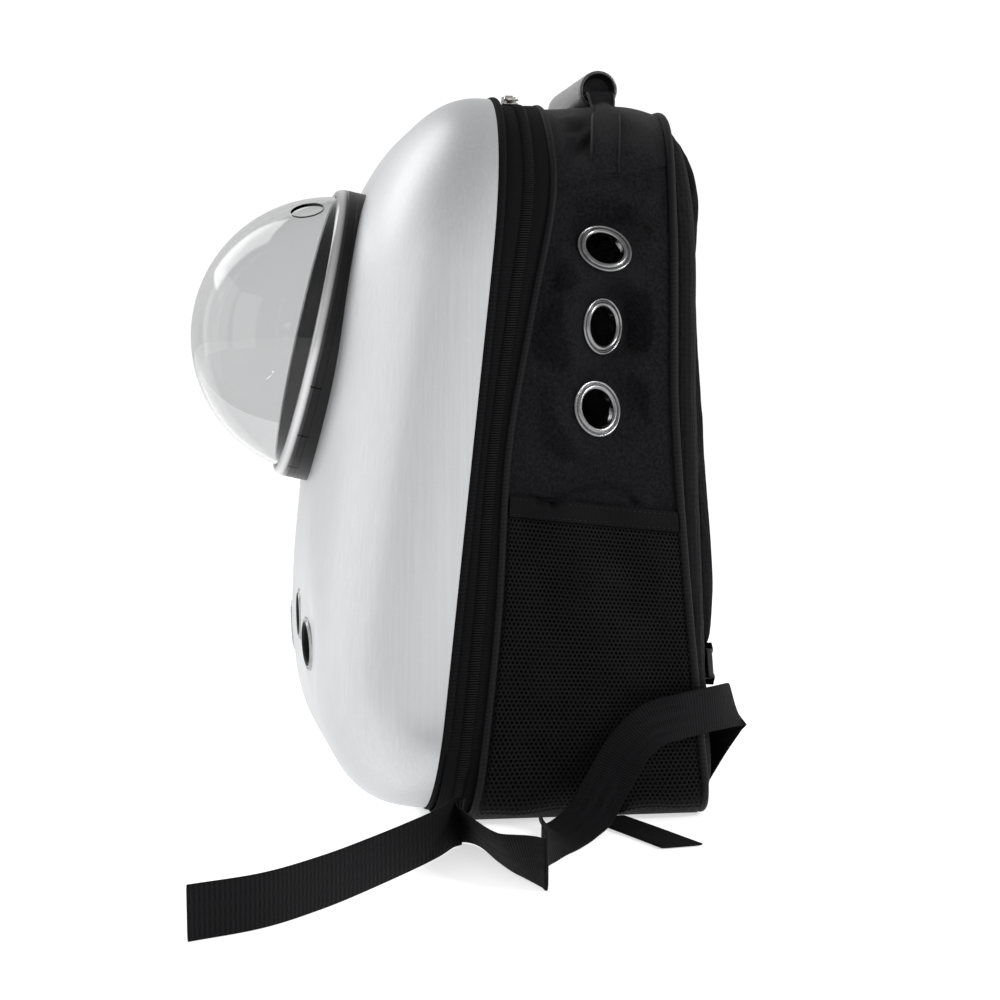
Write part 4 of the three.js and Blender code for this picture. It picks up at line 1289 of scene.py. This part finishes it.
def webbing(name, route, steps, finish, slot, *nodes):
    """A flat woven strap along a route, with selvedges."""
    middle, along = catmull([p for p, _ in route], steps + 1)
    across, _ = catmull([unit(np.array(a, float)) for _, a in route], steps + 1)
    along = unit(along)
    across = unit(across - (across * along).sum(1)[:, None] * along)
    normal = np.cross(along, across)
    half, thick = WEBBING["width"] / 2, WEBBING["thick"] / 2
    count = 28
    angles = np.linspace(0, TURN, count + 1)
    wide = np.sign(np.cos(angles)) * np.abs(np.cos(angles)) ** 0.35 * half
    deep = np.sign(np.sin(angles)) * np.abs(np.sin(angles)) ** 0.5 * thick

    def place(turn, run):
        k = np.rint(turn * count).astype(int)
        r = np.rint(run * steps).astype(int)
        found = middle[r] + across[r] * wide[k][:, None] + normal[r] * deep[k][:, None]
        lowest = np.full(steps + 1, np.inf)
        np.minimum.at(lowest, r, found[:, 2])
        found[:, 2] += np.maximum(0, WEBBING["floor_gap"] - lowest)[r]
        return found

    length = np.linalg.norm(np.diff(middle, axis=0), axis=1).sum()
    piece = spread(name, count, steps, place, (2 * WEBBING["width"], length))
    weld(piece)
    with editing(piece):
        bpy.ops.mesh.select_all(action="DESELECT")
        bpy.ops.mesh.select_non_manifold()
        bpy.ops.mesh.fill_holes(sides=0)
        bpy.ops.mesh.select_all(action="SELECT")
        bpy.ops.mesh.normals_make_consistent(inside=False)
    return fit(smooth(piece, 60), finish, slot, *nodes)


def make_handle():
    seat = float(outline(HANDLE_AT, LAST_STOP)[1]) + GAP + GRIP["radius"]
    end, radius = GRIP["length"] / 2, GRIP["radius"]
    half = [(0.01, end - 8), (radius - 4, end - 7.5), (radius - 2.6, end - 5.5), (radius - 2.2, end - 0.8)]
    half += arc((radius - 1.2, end - 1.0), 1.0, 170, 0, 7)
    straight = [(radius, z) for z in np.linspace(end - 6, 6 - end, 24)]
    section = half + straight + [(r, -z) for r, z in half[::-1]]
    middle, axis = (0, GRIP["y"], seat), (1, 0, 0)
    roll = turned("grip_roll", section, 56, facing(middle, axis))
    deep, far = face_places(roll, middle, np.array(axis))
    # The hollow in each end of the roll gets the dark lining finish: painted shade in the recess
    two_finishes(roll, LEATHERETTE, LINING_AND_PAINTED_SHADE, (far < radius - 2) & (np.abs(deep) < end - 0.6))
    fit(smooth(roll, 45), None, "grip", "handle_grip")
    for side, word in ((1, "right"), (-1, "left")):
        make_leg(side, word, seat)


def make_leg(side, word, seat):
    """A cloth strip that comes out of the grip's end, bends down and lies over the top to its seam."""
    end = GRIP["length"] / 2
    stops = np.linspace(LAST_STOP, 0, 2000)
    x, z, nx, nz = outline(np.full(2000, HANDLE_AT), stops)
    lying_on = (x > end + LEG["reach"]) & (z > PANELS["top_z"] - 1)
    down = np.stack([x + nx * LEG["clear"], z + nz * LEG["clear"]], 1)[lying_on]
    bend = [(end + past, seat + up) for past, up in LEG_BEND]
    path = np.array(bend + down[:: len(down) // 12].tolist())
    line, _ = catmull(np.stack([path[:, 0], 0 * path[:, 0], path[:, 1]], 1), LEG_STEPS)

    def place(across, along):
        row = along * (LEG_STEPS - 1)
        spot = np.stack([np.interp(row, np.arange(LEG_STEPS), line[:, k]) for k in (0, 2)], 1)
        wide = mix(LEG["top"], LEG["low"], rise(along, 0.15, 0.6))
        wide = wide * (1 - LEG["waist"] * bell(along - 0.32, 0.14))
        sag = LEG["curl"] * (2 * across - 1) ** 2 * bell(along - 0.3, 0.18)
        hem = LEG["hem"] * (2 * across - 1) ** 10
        sunk = LEG["sunk"] * rise(along, 0.78, 1)
        y = GRIP["y"] - LEG["drift"] * rise(along, 0.1, 1.1) + (across - 0.5) * wide
        return np.stack([side * (spot[:, 0] + sag + hem - sunk), y, spot[:, 1] - sag + 0.6 * hem], -1)

    leg = spread(f"grip_leg_{word}", 20, LEG_STEPS - 1, place, (LEG["low"], 95))
    if side > 0:
        turn_over(leg)
    thicken(leg, LEG["thick"], offset=1)
    fit(smooth(leg, 60), OXFORD, "webbing", f"handle_leg_{word}")
    rows = [place(np.full(LEG_STEPS, share), np.linspace(0.12, 1, LEG_STEPS)) for share in LEG_SEAMS]
    sewn(f"leg_stitches_{word}", rows, leg)


def make_straps():
    webbing("webbing_loose", LOOSE_ROUTE, 560, WEB, "webbing", "lower_webbing_right")
    webbing("webbing_left", LEFT_ROUTE, 60, WEB, "webbing", "lower_webbing_left")
    webbing("webbing_tail", TAIL_ROUTE, 90, WEB, "webbing", "webbing_end")
    for side, word in ((1, "right"), (-1, "left")):
        make_adjuster(side, word)


def make_adjuster(side, word):
    centre, along = catmull([(side * x, y, z) for x, y, z in SHOULDER_ROUTE], 200)
    along = Vector(along[-1]).normalized()
    across = Vector((1, 0, 0))
    across = (across - along * across.dot(along)).normalized()
    normal = along.cross(across)
    middle = Vector(centre[-1]) + along * (BUCKLE["height"] / 2 + GAP)
    turn = Matrix((across, along, -normal)).transposed().to_4x4()
    turn.translation = middle * MM
    frame_bar = block(f"adjuster_{word}", (BUCKLE["width"], BUCKLE["height"], BUCKLE["thick"]), (0, 0, 0))
    slot, slot_size = BUCKLE["slot"], (BUCKLE["slot_length"], BUCKLE["slot"], BUCKLE["slot_cut"])
    places = [(0, up * (BUCKLE["bar"] + slot) / 2, 0) for up in (1, -1)]
    cut_with(frame_bar, [block("slot_cutter", slot_size, place) for place in places])
    modify(frame_bar, "BEVEL", width=BUCKLE["bevel"] * MM, segments=3, limit_method="ANGLE")
    frame_bar.data.transform(turn)
    fit(smooth(frame_bar, 40), BUCKLE_BLACK, "buckle", f"strap_buckle_{word}")
    route = [(Vector(centre[-1]) + along * down + normal * out, across) for down, out in ADJUSTER_LOOP]
    webbing(f"adjuster_loop_{word}", route, 70, WEB, "webbing")


# Zip slider with its hinged pull


def block(name, size, place, bevel=None):
    """A block with sharp or bevelled edges, in millimetres."""
    bpy.ops.mesh.primitive_cube_add(size=1)
    piece = named(name)
    piece.data.transform(Matrix.Diagonal((*(s * MM for s in size), 1)))
    piece.data.transform(Matrix.Translation(Vector(place) * MM))
    if bevel:
        modify(piece, "BEVEL", width=bevel * MM, segments=3)
    return piece


def joined(pieces):
    bpy.ops.object.select_all(action="DESELECT")
    for piece in pieces:
        piece.select_set(True)
    bpy.context.view_layer.objects.active = pieces[0]
    bpy.ops.object.join()
    return pieces[0]


def make_slider():
    x, width, base, lugs = SLIDER["x"], SLIDER["width"], SLIDER["base"], SLIDER["lugs"]
    top = float(outline(ZIP_AT, LAST_STOP)[1]) - TAPE_SUNK + COIL["height"] + GAP
    y = (rim_y(top) + BINDING["depth"] + piping_y(top) - CORD["radius"]) / 2
    pin_z = top + base + SLIDER["pin"] + SLIDER["pin_clear"]
    parts = [block("slider", (SLIDER["length"], width, base), (x, y, top + base / 2), 0.6)]
    lug_thick = (width - PULL["width"]) / 2 - GAP
    for side in (1, -1):
        spot = (x, y + side * (width - lug_thick) / 2, top + base + lugs / 2 - GAP)
        parts.append(block("lug", (lugs, lug_thick, lugs), spot, 0.5))
    parts.append(plug("rod", (x, y, pin_z), (0, 1, 0), SLIDER["pin"], width - 1, 24))
    fit(smooth(joined(parts), 40), NICKEL, "slider", "zip_slider")

    length, half = PULL["length"], PULL["width"] / 2
    tab = block("tab", (length - 2, PULL["width"], PULL["thick"]), (length / 2 + 1, 0, 0), 0.5)
    bore = SLIDER["pin"] + GAP
    section = [(bore, -half), (bore + 1, -half), (bore + 1, half), (bore, half)]
    eye = turned("pull_tab", section, 32, facing((0, 0, 0), (0, 1, 0)))
    cut_with(tab, [plug("tab_hole", (length - 4.5, 0, 0), (0, 0, 1), 1.2, 10, 32)])
    pull = joined([eye, tab])
    pull.data.transform(Matrix.Rotation(PULL["droop"], 4, "Y"))
    pull.data.transform(Matrix.Translation(Vector((x, y, pin_z)) * MM))
    fit(smooth(pull, 40), NICKEL, "slider", "zip_pull", body="pull")


SILVER = silver_paint()
LINING_AND_PAINTED_SHADE = lining_and_painted_shade()
ACRYLIC = clear_acrylic()
BEZEL_BLACK = satin_plastic("bezel_black", (0.008, 0.008, 0.009), (0.016, 0.016, 0.017), 0.3, shine=0.2)
BEZEL_PAINTED_HIGHLIGHT = painted_edge_highlight()
BUCKLE_BLACK = satin_plastic("buckle_black", (0.008, 0.008, 0.009), (0.02, 0.02, 0.021), 0.25)
COIL_NYLON = satin_plastic("coil_nylon", (0.002, 0.002, 0.0024), (0.006, 0.006, 0.007), 0.42, 3000, shine=0.2)
GUNMETAL = bright_metal("gunmetal", (0.18, 0.18, 0.183), (0.37, 0.37, 0.375), 0.15)
CHROME = bright_metal("chrome", (0.32, 0.32, 0.325), (0.5, 0.5, 0.51), 0.1)
NICKEL = bright_metal("nickel", (0.55, 0.54, 0.52), (0.75, 0.74, 0.72), 0.14)
OXFORD = oxford_cloth()
TAPE_BLACK = ((0.0012, 0.0012, 0.0015), (0.007, 0.007, 0.0082))
BINDING_TAPE = ribbed_cloth("binding_tape", 0.0012, 0.0009, *TAPE_BLACK, 0.0002)
ZIP_TAPE = ribbed_cloth("zip_tape_cloth", 0.0009, 0.0009, *TAPE_BLACK, 0.00015, 0.7)
PIPING_BLACK = ((0.0014, 0.0014, 0.0017), (0.009, 0.009, 0.0105))
PIPING_CLOTH = ribbed_cloth("piping_cloth", 0.0011, 0.0011, *PIPING_BLACK, 0.00015, 0.42, 0.15)
NET_BLACK = ((0.0025, 0.0025, 0.003), (0.006, 0.006, 0.007))
NET_THREAD = satin_plastic("net_thread", *NET_BLACK, 0.6, 2500, 0.0001, 0.13)
WEB = ribbed_cloth("webbing_weave", 0.0019, 0.0016, (0.0016, 0.0016, 0.0019), (0.0095, 0.0095, 0.011), 0.0004)
THREAD = satin_plastic("sewing_thread", (0.005, 0.005, 0.0053), (0.012, 0.012, 0.0125), 0.5, 4000, shine=0.2)
PADDING = padding_cloth()
LEATHERETTE = leatherette()

set_camera()
set_studio()
make_shell()
make_window()
make_closure()
make_body()
make_handle()
make_straps()
make_slider()
